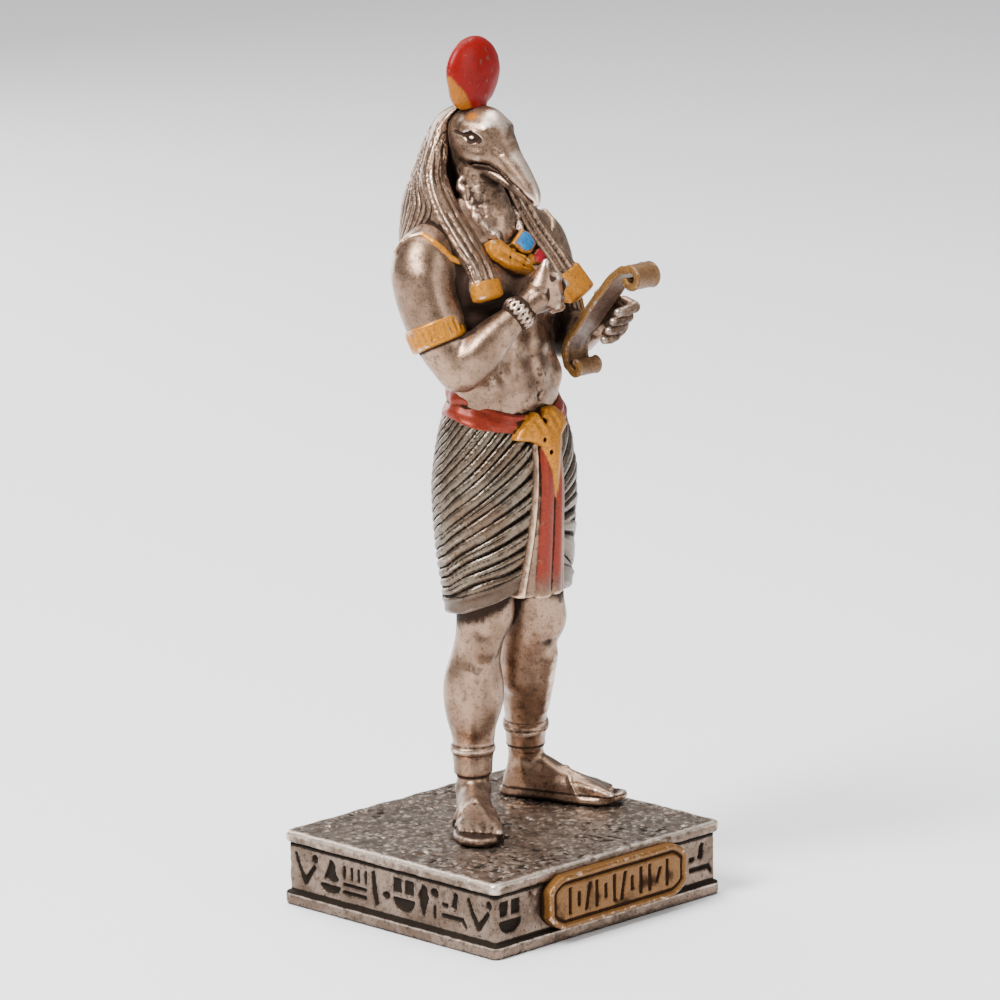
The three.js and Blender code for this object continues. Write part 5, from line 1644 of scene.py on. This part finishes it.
class Shader:
    """A node material, with short names for the nodes it needs."""

    def __init__(self, name):
        self.material = bpy.data.materials.new(name)
        self.material.use_nodes = True
        self.nodes = self.material.node_tree.nodes
        self.links = self.material.node_tree.links
        self.nodes.clear()
        coords = self.nodes.new("ShaderNodeTexCoord")
        scale = self.nodes.new("ShaderNodeVectorMath")
        scale.operation = "SCALE"
        scale.inputs["Scale"].default_value = 1 / MM
        self.links.new(coords.outputs["Object"], scale.inputs[0])
        self.place = scale.outputs[0]

    def feed(self, socket, value):
        """Links an output to a socket, or sets the socket to a plain value."""
        if isinstance(value, bpy.types.NodeSocket):
            self.links.new(value, socket)
        elif socket.type == "RGBA":
            socket.default_value = (*value, 1.0)
        else:
            socket.default_value = value

    def math(self, operation, a, b):
        node = self.nodes.new("ShaderNodeMath")
        node.operation = operation
        self.feed(node.inputs[0], a)
        self.feed(node.inputs[1], b)
        return node.outputs[0]

    def plus(self, a, b):
        return self.math("ADD", a, b)

    def less(self, a, b):
        return self.math("SUBTRACT", a, b)

    def times(self, a, b):
        return self.math("MULTIPLY", a, b)

    def noise(self, scale, detail=3.0, roughness=0.55):
        node = self.nodes.new("ShaderNodeTexNoise")
        self.links.new(self.place, node.inputs["Vector"])
        node.inputs["Scale"].default_value = scale
        node.inputs["Detail"].default_value = detail
        node.inputs["Roughness"].default_value = roughness
        return node.outputs["Fac"]

    def span(self, value, low, high, start=0.0, end=1.0):
        """Eases a value between two limits into another pair."""
        node = self.nodes.new("ShaderNodeMapRange")
        node.interpolation_type = "SMOOTHSTEP"
        for socket, part in zip(node.inputs, (value, low, high, start, end)):
            self.feed(socket, part)
        return node.outputs[0]

    def blend(self, share, a, b, kind="FLOAT", first=2, result=0):
        """Mixes two values. The numbers are the places of the kind's own sockets on the node."""
        node = self.nodes.new("ShaderNodeMix")
        node.data_type = kind
        self.feed(node.inputs["Factor"], share)
        self.feed(node.inputs[first], a)
        self.feed(node.inputs[first + 1], b)
        return node.outputs[result]

    def mix(self, share, a, b):
        """Mixes two colours."""
        return self.blend(share, a, b, "RGBA", 6, 2)

    def attribute(self, name):
        node = self.nodes.new("ShaderNodeAttribute")
        node.attribute_name = name
        return node

    def finish(self, colour, metallic, roughness, height=None, bump=0.3, coat=None, shine=0.5):
        shader = self.nodes.new("ShaderNodeBsdfPrincipled")
        self.feed(shader.inputs["Base Color"], colour)
        self.feed(shader.inputs["Metallic"], metallic)
        self.feed(shader.inputs["Roughness"], roughness)
        self.feed(shader.inputs["Specular IOR Level"], shine)
        if coat is not None:
            self.feed(shader.inputs["Coat Weight"], coat)
            shader.inputs["Coat Roughness"].default_value = 0.25
        if height is not None:
            node = self.nodes.new("ShaderNodeBump")
            node.inputs["Strength"].default_value = bump
            node.inputs["Distance"].default_value = 0.08 * MM
            self.feed(node.inputs["Height"], height)
            self.links.new(node.outputs[0], shader.inputs["Normal"])
        output = self.nodes.new("ShaderNodeOutputMaterial")
        self.links.new(shader.outputs[0], output.inputs["Surface"])
        return self.material


def cast_metal(name, light, brown, rub_and_highlight, patina, paint_metal=0.3, speckle=0.6, grain=0.3, gloss=(0.15, 0.25)):
    """Cold-cast metal with patina and painted shade in its hollows, rubbed edges and painted highlights, and
    worn paint over it.
    """
    s = Shader(name)
    dirt_and_shade = s.attribute("dirt_and_shade").outputs["Fac"]
    wear_and_highlight = s.attribute("wear_and_highlight").outputs["Fac"]
    paint = s.attribute("paint")
    broad = s.noise(0.3, 3)
    middle = s.noise(1.3, 6, 0.66)
    grit = s.noise(3.6, 4, 0.72)
    dust = s.noise(11.0, 2, 0.6)
    metal = s.mix(s.span(broad, 0.4, 0.62), light, brown)
    metal = s.mix(s.span(middle, 0.5, 0.7, 0.0, 0.75), metal, tuple(0.45 * part for part in brown))
    metal = s.mix(s.span(grit, 0.55, 0.66, 0.0, speckle), metal, patina)
    # The rubbed colour shows on worn edges and on painted highlights.
    bright = s.span(s.plus(wear_and_highlight, s.times(s.less(0.5, middle), 0.9)), 0.2, 0.8)
    metal = s.mix(bright, metal, rub_and_highlight)
    chips = s.span(s.plus(middle, s.times(wear_and_highlight, 0.12)), 0.62, 0.7, 1.0, 0.3)
    cover = s.times(paint.outputs["Alpha"], chips)
    shade = s.mix(s.span(grit, 0.4, 0.72, 0.0, 0.5), paint.outputs["Color"], patina)
    colour = s.mix(cover, metal, shade)
    stirred = s.plus(s.times(middle, 0.55), s.times(grit, 0.35))
    # Patina fills the hollows, and the same mix lays painted shade where the masks ask for it.
    grime_and_shade = s.span(s.plus(dirt_and_shade, s.less(stirred, 0.45)), 0.16, 0.72)
    colour = s.mix(s.times(grime_and_shade, 0.96), colour, patina)
    metallic = s.blend(cover, 0.92, paint_metal)
    metallic = s.blend(s.times(grime_and_shade, 0.8), metallic, 0.2)
    roughness = s.blend(cover, s.span(dust, 0.3, 0.7, 0.25, 0.4), 0.42)
    roughness = s.blend(grime_and_shade, roughness, 0.65)
    height = s.plus(s.times(grit, 0.6), s.times(dust, 0.4))
    clean = s.less(1.0, grime_and_shade)
    coat = s.times(s.times(cover, clean), gloss[0])
    shine = s.times(s.span(clean, 0.0, 1.0, 0.12, 1.0), s.blend(cover, 0.5, gloss[1]))
    return s.finish(colour, metallic, roughness, height, grain, coat, shine)


# Meshes

# How far the filled grid is blurred, in its steps, and how far out of the surface that blur is read
MASK_REACHES = ((1, 0), (3, 0.35), (8, 1.2), (14, 2.2))
solid_share = {}


def compact(points, quads):
    """Drops the points that no quad uses."""
    used = np.zeros(len(points), bool)
    used[quads.ravel()] = True
    number = np.cumsum(used) - 1
    return points[used], number[quads]


def masks_of(points, quads, step):
    """How dark and how rubbed each point is, from how enclosed it lies: patina in hollows, painted shade
    where parts crowd each other, rubbed edges.
    """
    normals = normals_of(points, quads)
    near, middle, far, wide = (sampled(solid_share[n], points + out * normals) for n, out in MASK_REACHES)
    start, end, count = edges_of(points, quads)
    mean = neighbour_mean(points, start, end, count)
    bend = ((mean - points) * normals).sum(1) / step ** 2
    for _ in range(2):
        bend = 0.5 * bend + 0.5 * np.bincount(start, bend[end], len(points)) / count
    # The near and middle reaches and the bend put patina in hollows; the far and wide reaches paint shade
    # under the arms, jaw and kilt.
    dirt_and_shade = 0.9 * np.clip((near - 0.55) * 3.0, 0, 1) + 0.6 * np.clip((middle - 0.44) * 2.4, 0, 1)
    dirt_and_shade = dirt_and_shade + 0.8 * np.clip((far - 0.36) * 2.6, 0, 1) + np.clip(bend * 1.1 - 0.1, 0, 0.9)
    dirt_and_shade = dirt_and_shade + 0.35 * np.clip((wide - 0.33) * 3.0, 0, 1)
    wear_and_highlight = np.clip((0.45 - near) * 3.4, 0, 1) + np.clip((0.24 - middle) * 1.8, 0, 0.4)
    wear_and_highlight = wear_and_highlight + np.clip(-bend * 0.6 - 0.1, 0, 0.6)
    return normals, np.clip(dirt_and_shade, 0, 1.3), np.clip(wear_and_highlight - dirt_and_shade, 0, 1)


def add_piece(name, node, material, points, faces, dirt_and_shade, wear_and_highlight, paint):
    """A mesh in the row frame, in metres, that stands for a CAD node."""
    mesh = bpy.data.meshes.new(name)
    places = (np.asarray(points) * PART + [0, 0, DECK]) * MM
    loops = np.concatenate([np.ravel(part) for part in faces]).astype(np.int32)
    sizes = np.concatenate([np.full(len(part), part.shape[1]) for part in faces])
    starts = np.concatenate([[0], np.cumsum(sizes)[:-1]]).astype(np.int32)
    mesh.vertices.add(len(places))
    mesh.vertices.foreach_set("co", places.astype(np.float32).ravel())
    mesh.loops.add(len(loops))
    mesh.loops.foreach_set("vertex_index", loops)
    mesh.polygons.add(len(starts))
    mesh.polygons.foreach_set("loop_start", starts)
    mesh.update(calc_edges=True)
    mesh.validate()
    mesh.polygons.foreach_set("use_smooth", np.ones(len(mesh.polygons), bool))
    for key, values in (("dirt_and_shade", dirt_and_shade), ("wear_and_highlight", wear_and_highlight)):
        layer = mesh.attributes.new(key, "FLOAT", "POINT")
        layer.data.foreach_set("value", np.asarray(values, np.float32))
    layer = mesh.attributes.new("paint", "FLOAT_COLOR", "POINT")
    layer.data.foreach_set("color", np.asarray(paint, np.float32).ravel())
    mesh.materials.append(material)
    piece = bpy.data.objects.new(name, mesh)
    bpy.context.scene.collection.objects.link(piece)
    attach(piece, "root")
    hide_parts(node)


def add_block(name, node, material, block, painter, passes=2, keep=None):
    """Meshes a block, works out its masks, paints it and adds it as a piece."""
    points, quads = surface_of(block)
    points = relaxed(points, quads, passes)
    if keep is not None:
        points, quads = compact(points, quads[keep(points[quads].mean(1))])
    normals, dirt_and_shade, wear_and_highlight = masks_of(points, quads, block.step)
    coat = Coat(len(points))
    extra = painter(coat, points, normals)
    # The painter's value adds dark marks and painted shade, or, where it is negative, painted highlights.
    dirt_and_shade, wear_and_highlight = np.clip(dirt_and_shade + extra, 0, 1.4), np.clip(wear_and_highlight - extra, 0, 1)
    add_piece(name, node, material, points, [quads], dirt_and_shade, wear_and_highlight, coat.colour)


# Paint on each piece. A painter lays its colours on the coat, given the points and their normals, and
# returns what to add to the dirt and painted shade; a negative value adds painted highlight to the wear.

def paint_body(coat, p, n):
    x, y, z = p.T
    from_arms = sampled(arms.value, p, arms)
    torso = step_up(from_arms, 0.12, 0.35)
    # Painted shade on the torso beside the arms, between the waist and the chest.
    shade_beside_arms = torso * (1 - step_up(from_arms, 0.7, 1.9))
    shade_beside_arms = shade_beside_arms * (1 - step_up(z, 54.6, 56.4)) * step_up(z, 47.2, 49.0)
    front = step_up(-n[:, 1], 0.1, 0.5) * torso
    # Painted shade in a band under the chest, on faces that look forward.
    shade_under_chest = bell(z - 51.1 - 0.1 * np.abs(x - 0.5), 0.42)
    fleck = step_up(noise(x, y, z, 97, 3.1), 0.15, 0.5) * (1 - step_up(z, 50, 52))
    broad = 0.5 + 0.5 * noise(x, y, z, 98, 0.5)
    # Painted shade along the line where the arms meet the torso, and just below each armband.
    crease = torso * (1 - step_up(from_arms, 0.2, 0.45))
    for upper, lower in (RIGHT_BAND, LEFT_BAND):
        upper, lower = np.array(upper[:3]), np.array(lower[:3])
        past = (p - lower) @ unit(lower - upper)
        on_arm = (from_arms < 0.1) * (np.linalg.norm(p - lower, axis=1) < 4.2)
        crease = crease + on_arm * bell(past - 0.2, 0.3)
    return 1.15 * shade_beside_arms + 0.8 * crease + front * (0.55 * shade_under_chest + 0.6 * fleck * broad)


def paint_legs(coat, p, n):
    x, y, z = p.T
    hem = hem_height(wrap_share(kilt_round(x, y, np.full_like(z, 23.0))[1]))
    shade = 0.85 * step_up(z, hem - 2.6, hem - 0.2)
    # Painted shade in the crease below the left knee.
    knee_crease_shade = bell(x - 5.2, 1.1) * bell(y + 1.7, 1.2) * bell(z - 17.1, 0.7)
    cuff = np.where(x + y < 8, 6.78, 7.12)
    lines = bell(z - cuff, 0.13) + bell(z - cuff - 0.82, 0.11)
    seam = bell(z - 0.93, 0.1) + 1 - step_up(z, 0.08, 0.22)
    low_cuff = bell(z - cuff + 2.15 - 0.35 * (cuff > 7), 0.16)
    # Painted highlight down the front of the left shin, on faces that look forward.
    shin_highlight = step_up(-0.98 * n[:, 1] + 0.1 * n[:, 0], 0.75, 0.95) * (x > 4.4)
    shin_highlight = shin_highlight * step_up(z, 8.5, 10) * (1 - step_up(z, 14, 17))
    foot = (1 - step_up(z, 3.4, 5.0)) * (x < 3)
    return shade + 0.8 * knee_crease_shade + 0.7 * lines + 0.8 * seam + 0.9 * low_cuff - 0.6 * shin_highlight + 0.36 * foot


def paint_disc(coat, p, n):
    x, y, z = p.T
    coat.lay(SCARLET, step_up(z, 69.35, 69.5))
    patch = 0.6 * (71.3 - z) - 0.7 * (x + 1.6) + 0.5 * noise(x, y, z, 91, 0.7)
    coat.lay(OCHRE, 0.9 * step_up(patch, 0.3, 0.6) * (z > 69.4))
    return 1.1 * bell(z - 69.3, 0.22)


def paint_head(coat, p, n):
    x, y, z = p.T
    coat.lay(OCHRE, 1.3 * bell(x + 1.7, 0.8) * bell(y - 1.5, 0.8) * bell(z - 69.2, 0.45))
    ring, u, v = almond(y, z)
    side = step_up(np.abs(x), 1.1, 1.5)
    stir = 0.2 * noise(y * 2.2, z * 2.2, 0 * v, 95)
    # Painted highlight in the eye: a spot left light inside the dark of the eye.
    glint = bell(u + 0.05, 0.24) * bell(v - 0.02, 0.17)
    lids = (1 - step_up(ring + stir, 0.02, 0.26)) * (1 - 1.5 * glint)
    # Painted highlights on faces that look up, on the crown and along the top of the bill.
    crown = step_up(z, 67.6, 68.6) * step_up(n[:, 2], 0.3, 0.8)
    ridge = step_up(n[:, 2], 0.35, 0.8) * (1 - step_up(y, -0.6, 0.8))
    tail = bell(v, 0.22) * step_up(u, 0.7, 1.0) * (1 - step_up(u, 2.0, 2.6))
    mouth, _ = line_distance(y, z, MOUTH)
    # Painted shade on the lower bill, under the line of the mouth.
    below = np.interp(y, *zip(*MOUTH[::-1])) - z
    lower_bill_shade = step_up(below, 0.05, 0.5) * (1 - step_up(y, 0.4, 2.0)) * step_up(z, 60.5, 61.0)
    dark = side * (1.3 * lids + tail) + 0.9 * bell(mouth, 0.2) + 0.55 * lower_bill_shade * (below > 0)
    return dark - 0.2 * crown - 1.0 * ridge


def paint_wig(coat, p, n):
    x, y, z = p.T
    for side, rows, share in LAPPETS:
        coat.lay(GOLD, inside_of(lappet_band(side, rows, share), p))
    outer, angle, cover = wig_place(x, y, z)
    share = angle / cover
    groove = strands(share * WIG_STRANDS, z, WIG_SEED)[1]
    shown = strands_shown(share, z) * (1 - step_up(np.abs(outer), 0.5, 0.7))
    return 0.14 + (1.5 * groove - 0.1) * shown


def paint_kilt(coat, p, n):
    x, y, z = p.T
    smooth, angle = kilt_round(x, y, z)
    low = hem_height(wrap_share(angle)) + HEM_BAND
    coat.lay(HEM, 0.6 * (1 - step_up(z, low - 0.1, low + 0.1)))
    seam = bell(z - low - 0.2, 0.13)
    upper = 0.12 * step_up(z, 30, 36)
    return (1.2 * folds(angle, z)[1] + 0.7 * seam) * (1 - step_up(-smooth, 0.7, 0.9)) + upper


def paint_collar(coat, p, n):
    x, y, z = p.T
    coat.lay(GOLD, (1 - step_up(x, 5.9, 6.4)) * (1 - step_up(y, 1.6, 2.3)))
    edges = 0
    for place, colour, rim in ((BLUE_PAD, SKY, 0.2), (RED_PAD, CRIMSON, 0.08)):
        across, up, out = on_chest(place, x, y, z)
        inside = -outline_distance(across, up, place[1]) - rim
        here = (np.abs(out - 0.2) < 0.35) * (outline_distance(*on_chest(WING, x, y, z)[:2], WING[1]) > 0)
        coat.lay(colour, here * step_up(inside, 0.0, 0.06))
        edges = edges + here * bell(inside, 0.06)
    return 0.6 * edges


def paint_bands(coat, p, n):
    x = p[:, 0]
    # Gold is left off the far band's inner side and that band is painted darker, both standing in for shade;
    # the near band is painted lighter, a painted highlight.
    coat.lay(GOLD, 1 - step_up(x, 0, 1) * (1 - step_up(x, 9.6, 10.4)))
    return np.where(x < 0, -0.3, 0.45)


def paint_fist(coat, p, n):
    x, y, z = p.T
    smear = np.clip(noise(x, y, z, 93, 1.1) * 3 + 0.5, 0, 1)
    coat.lay(OCHRE, smear * 0.65 * step_up(x, 0.1, 0.6) * (1 - step_up(z, 53.8, 54.8)))
    crack = step_up(noise(x * 1.6, y * 1.6, z * 1.1, 94), 0.25, 0.5)
    along = (p - WRIST) @ WRIST_WAY
    radial = np.linalg.norm(p - WRIST - along[:, None] * WRIST_WAY, axis=1)
    wrist = np.abs(along) < 1.15
    gap = wrist * (1 - step_up(radial, 1.44, 1.62))
    return 1.1 * gap + 0.25 * wrist + (0.12 + 0.6 * crack) * (along > 1.3)


def paint_apron(coat, p, n):
    x, y, z = p.T
    _, angle = kilt_round(x, y, np.minimum(z, KILT_TOP))
    lower = belt_lower(angle)
    belt = step_up(z, lower + 0.02, lower + 0.12)
    coat.lay(BRICK, belt)
    for rows in (APRON_RED, APRON_RED_FAR):
        fade = 0.3 + 0.7 * step_up(z, 23.2, 26.0)
        coat.lay(BRICK, inside_of(strip(rows, 0.7), p, 0.1, 0.06) * fade)
    coat.lay(GOLD, inside_of(buckle_form(), p, 0.08, 0.07))
    return 0.18 * belt


def paint_plaque(coat, p, n):
    x, y, z = p.T
    coat.lay(BRASS, np.ones(len(p)))
    depth, flat = plaque_depth(x, z)
    stain = np.clip(noise(x * 0.8, y, z * 0.8, 99) + 0.2, 0, 1)
    return 1.2 * step_up(depth, 0.16, 0.32) + 0.6 * stain * step_up(-flat, 0.4, 0.8)


def scroll_painter(hand):
    def paint(coat, p, n):
        x, y, z = p.T
        index = np.clip(np.rint((p - hand.low) / hand.step).astype(int), 0, np.array(hand.shape) - 1)
        fingers = 1 - step_up(hand.value[tuple(index.T)], 0.08, 0.18)
        paper = 1 - fingers
        near_edge = 1 - step_up(x, SCROLL_NEAR + 0.15, SCROLL_NEAR + 0.35)
        edge = np.maximum(near_edge, step_up(x, SCROLL_FAR - 0.35, SCROLL_FAR - 0.15))
        rolled = np.maximum(1 - step_up(y, -13.1, -12.5), 1 - step_up(z, 46.6, 47.2))
        coat.lay(SHEET, paper * 0.75)
        coat.lay(RIM, paper * np.maximum(edge, rolled * 0.85))
        # Painted shade on the front fingers, on faces that don't look up.
        grip = fingers * step_up(-y, 7.2, 8.0)
        return 0.5 * grip * (1 - step_up(n[:, 2], 0.3, 0.9)) + 0.34 * paper
    return paint


# Pieces

# Each metal: its light and brown tones, its rubbed edges, which also show painted highlights, and the patina
# in its hollows, which also shows painted shade

bronze = cast_metal("bronze_patina", (0.34, 0.215, 0.145), (0.21, 0.13, 0.085), (0.74, 0.58, 0.47),
                    (0.02, 0.011, 0.008))
pewter = cast_metal("pewter_cloth", (0.168, 0.13, 0.094), (0.136, 0.09, 0.06), (0.6, 0.49, 0.39),
                    (0.008, 0.006, 0.005), speckle=0.5)
UNDERCOAT = ((0.3, 0.19, 0.12), (0.2, 0.12, 0.08))
painted = cast_metal("painted_trim", *UNDERCOAT, (0.72, 0.5, 0.34), (0.02, 0.01, 0.006), paint_metal=0.45)
enamel = cast_metal("glossy_disc", *UNDERCOAT, (0.5, 0.22, 0.17), (0.03, 0.008, 0.006),
                    paint_metal=0.05, speckle=0.3, grain=0.15, gloss=(0.1, 0.12))
dark = cast_metal("dark_bronze", (0.218, 0.153, 0.116), (0.13, 0.087, 0.061), (0.6, 0.49, 0.4),
                  (0.01, 0.007, 0.005), speckle=0.9, grain=0.7)

body, arms = body_block()
legs = legs_block()
kilt = kilt_block()
apron = apron_block()
head = head_block()
wig = wig_block()
collar = collar_block()
fist = fist_block()
scroll, scroll_hand = scroll_block()
near_band, far_band = arm_bands_block()
disc = disc_block()
slab = top_slab_block()
plaque = plaque_block()

FIGURE_PIECES = [
    ("body", bronze, body, paint_body),
    ("legs", bronze, legs, paint_legs),
    ("kilt", pewter, kilt, paint_kilt),
    ("belt_and_apron", painted, apron, paint_apron),
    ("head", bronze, head, paint_head),
    ("wig", bronze, wig, paint_wig),
    ("collar", painted, collar, paint_collar),
    ("fist", bronze, fist, paint_fist),
    ("scroll_and_hand", bronze, scroll, scroll_painter(scroll_hand)),
    ("near_armband", painted, near_band, paint_bands),
    ("far_armband", painted, far_band, paint_bands),
    ("sun_disc", enamel, disc, paint_disc),
]
for block in [row[2] for row in FIGURE_PIECES] + [slab, plaque]:
    note_solid(block)
note_box([-PLINTH_X, -PLINTH_Y, PLINTH_BOTTOM], [PLINTH_X, PLINTH_Y, FRIEZE_LOW])
within_x, within_y = PLINTH_X - RECESS, PLINTH_Y - RECESS
note_box([-within_x, -within_y, FRIEZE_LOW], [within_x, within_y, FRIEZE_HIGH])
for reach, _ in MASK_REACHES:
    solid_share[reach] = blurred(hollow.value, reach)


def slab_shown(p):
    """Leaves out the slab's own underside, which lies inside the plinth."""
    x, y, z = p.T
    return (z > -0.8) | (np.abs(x) > PLINTH_X - 1.2) | (np.abs(y) > PLINTH_Y - 1.2)


for name, material, block, painter in FIGURE_PIECES:
    add_block(name, "figure", material, block, painter)
add_block("plinth_top", "plinth", dark, slab, paint_slab, keep=slab_shown)
wall_points, wall_faces, wall_dirt_and_shade, wall_wear = plinth_wall()
bare = np.zeros((len(wall_points), 4))
add_piece("plinth_wall", "plinth", dark, wall_points, wall_faces, wall_dirt_and_shade, wall_wear, bare)
add_block("plaque", "name_plaque", painted, plaque, paint_plaque, passes=1)

# Floor, lights, world and camera

def look_from(place, target, roll=0.0):
    back = (Vector(place) - Vector(target)).normalized()
    turn = (-back).to_track_quat("-Z", "Y").to_matrix().to_4x4() @ Matrix.Rotation(math.radians(roll), 4, "Z")
    return Matrix.Translation(place) @ turn


def softbox(name, place, target, size, energy):
    data = bpy.data.lights.new(name, "AREA")
    data.shape = "RECTANGLE"
    data.size, data.size_y = size
    data.energy = energy
    lamp = bpy.data.objects.new(name, data)
    bpy.context.scene.collection.objects.link(lamp)
    lamp.matrix_world = look_from(place, target)


FLOOR_HALF = 1.5
floor_mesh = bpy.data.meshes.new("floor")
grown = bmesh.new()
bmesh.ops.create_grid(grown, x_segments=1, y_segments=1, size=FLOOR_HALF)
grown.to_mesh(floor_mesh)
grown.free()
floor = bpy.data.objects.new("floor", floor_mesh)
bpy.context.scene.collection.objects.link(floor)
pale = Shader("pale_floor")
pale_tones = pale.mix(pale.noise(0.004), (0.84, 0.84, 0.85), (0.87, 0.87, 0.88))
floor_mesh.materials.append(pale.finish(pale_tones, 0.0, 0.8))

# The camera's place round the object and its lens, fitted to the plinth's corners in the photograph

AZIMUTH, ELEVATION, ROLL = math.radians(-45.506), math.radians(12.946), -0.5
DISTANCE = 0.628
AIM_RIGHT, AIM_UP = 0.0000649, 0.039546
LENS, SENSOR = 236.7, 36
right = Vector((math.cos(AZIMUTH), math.sin(AZIMUTH), 0))
level = math.cos(ELEVATION)
back = Vector((math.sin(AZIMUTH) * level, -math.cos(AZIMUTH) * level, math.sin(ELEVATION)))
target = right * AIM_RIGHT + Vector((0, 0, AIM_UP))
camera_data = bpy.data.cameras.new("camera")
camera_data.sensor_width = SENSOR
camera_data.lens = LENS
camera_data.clip_start, camera_data.clip_end = 0.01, 10
camera = bpy.data.objects.new("camera", camera_data)
bpy.context.scene.collection.objects.link(camera)
camera.matrix_world = look_from(target + back * DISTANCE, target, ROLL)
bpy.context.scene.camera = camera

# Each softbox: how far it stands towards the camera, to its left and up from the middle, in metres, its
# width and height, and its power in watts

SOFTBOXES = [
    ("key", 0.25, 0.28, 0.35, (0.2, 0.26), 7.4), ("fill", 0.3, -0.4, 0.12, (0.3, 0.4), 1.4),
    ("top", -0.1, 0.0, 0.5, (0.4, 0.4), 3.0), ("rim", -0.4, 0.25, 0.2, (0.2, 0.4), 2.0),
]
middle = Vector((0, 0, 0.04))
for name, toward, left, up, size, energy in SOFTBOXES:
    softbox(name, middle + back * toward - right * left + Vector((0, 0, up)), middle, size, energy)

SKY_LIGHT, SKY_STRENGTH = (0.93, 0.94, 0.95, 1), 0.44
world = bpy.data.worlds.new("studio")
bpy.context.scene.world = world
world.use_nodes = True
world.node_tree.nodes["Background"].inputs["Color"].default_value = SKY_LIGHT
world.node_tree.nodes["Background"].inputs["Strength"].default_value = SKY_STRENGTH
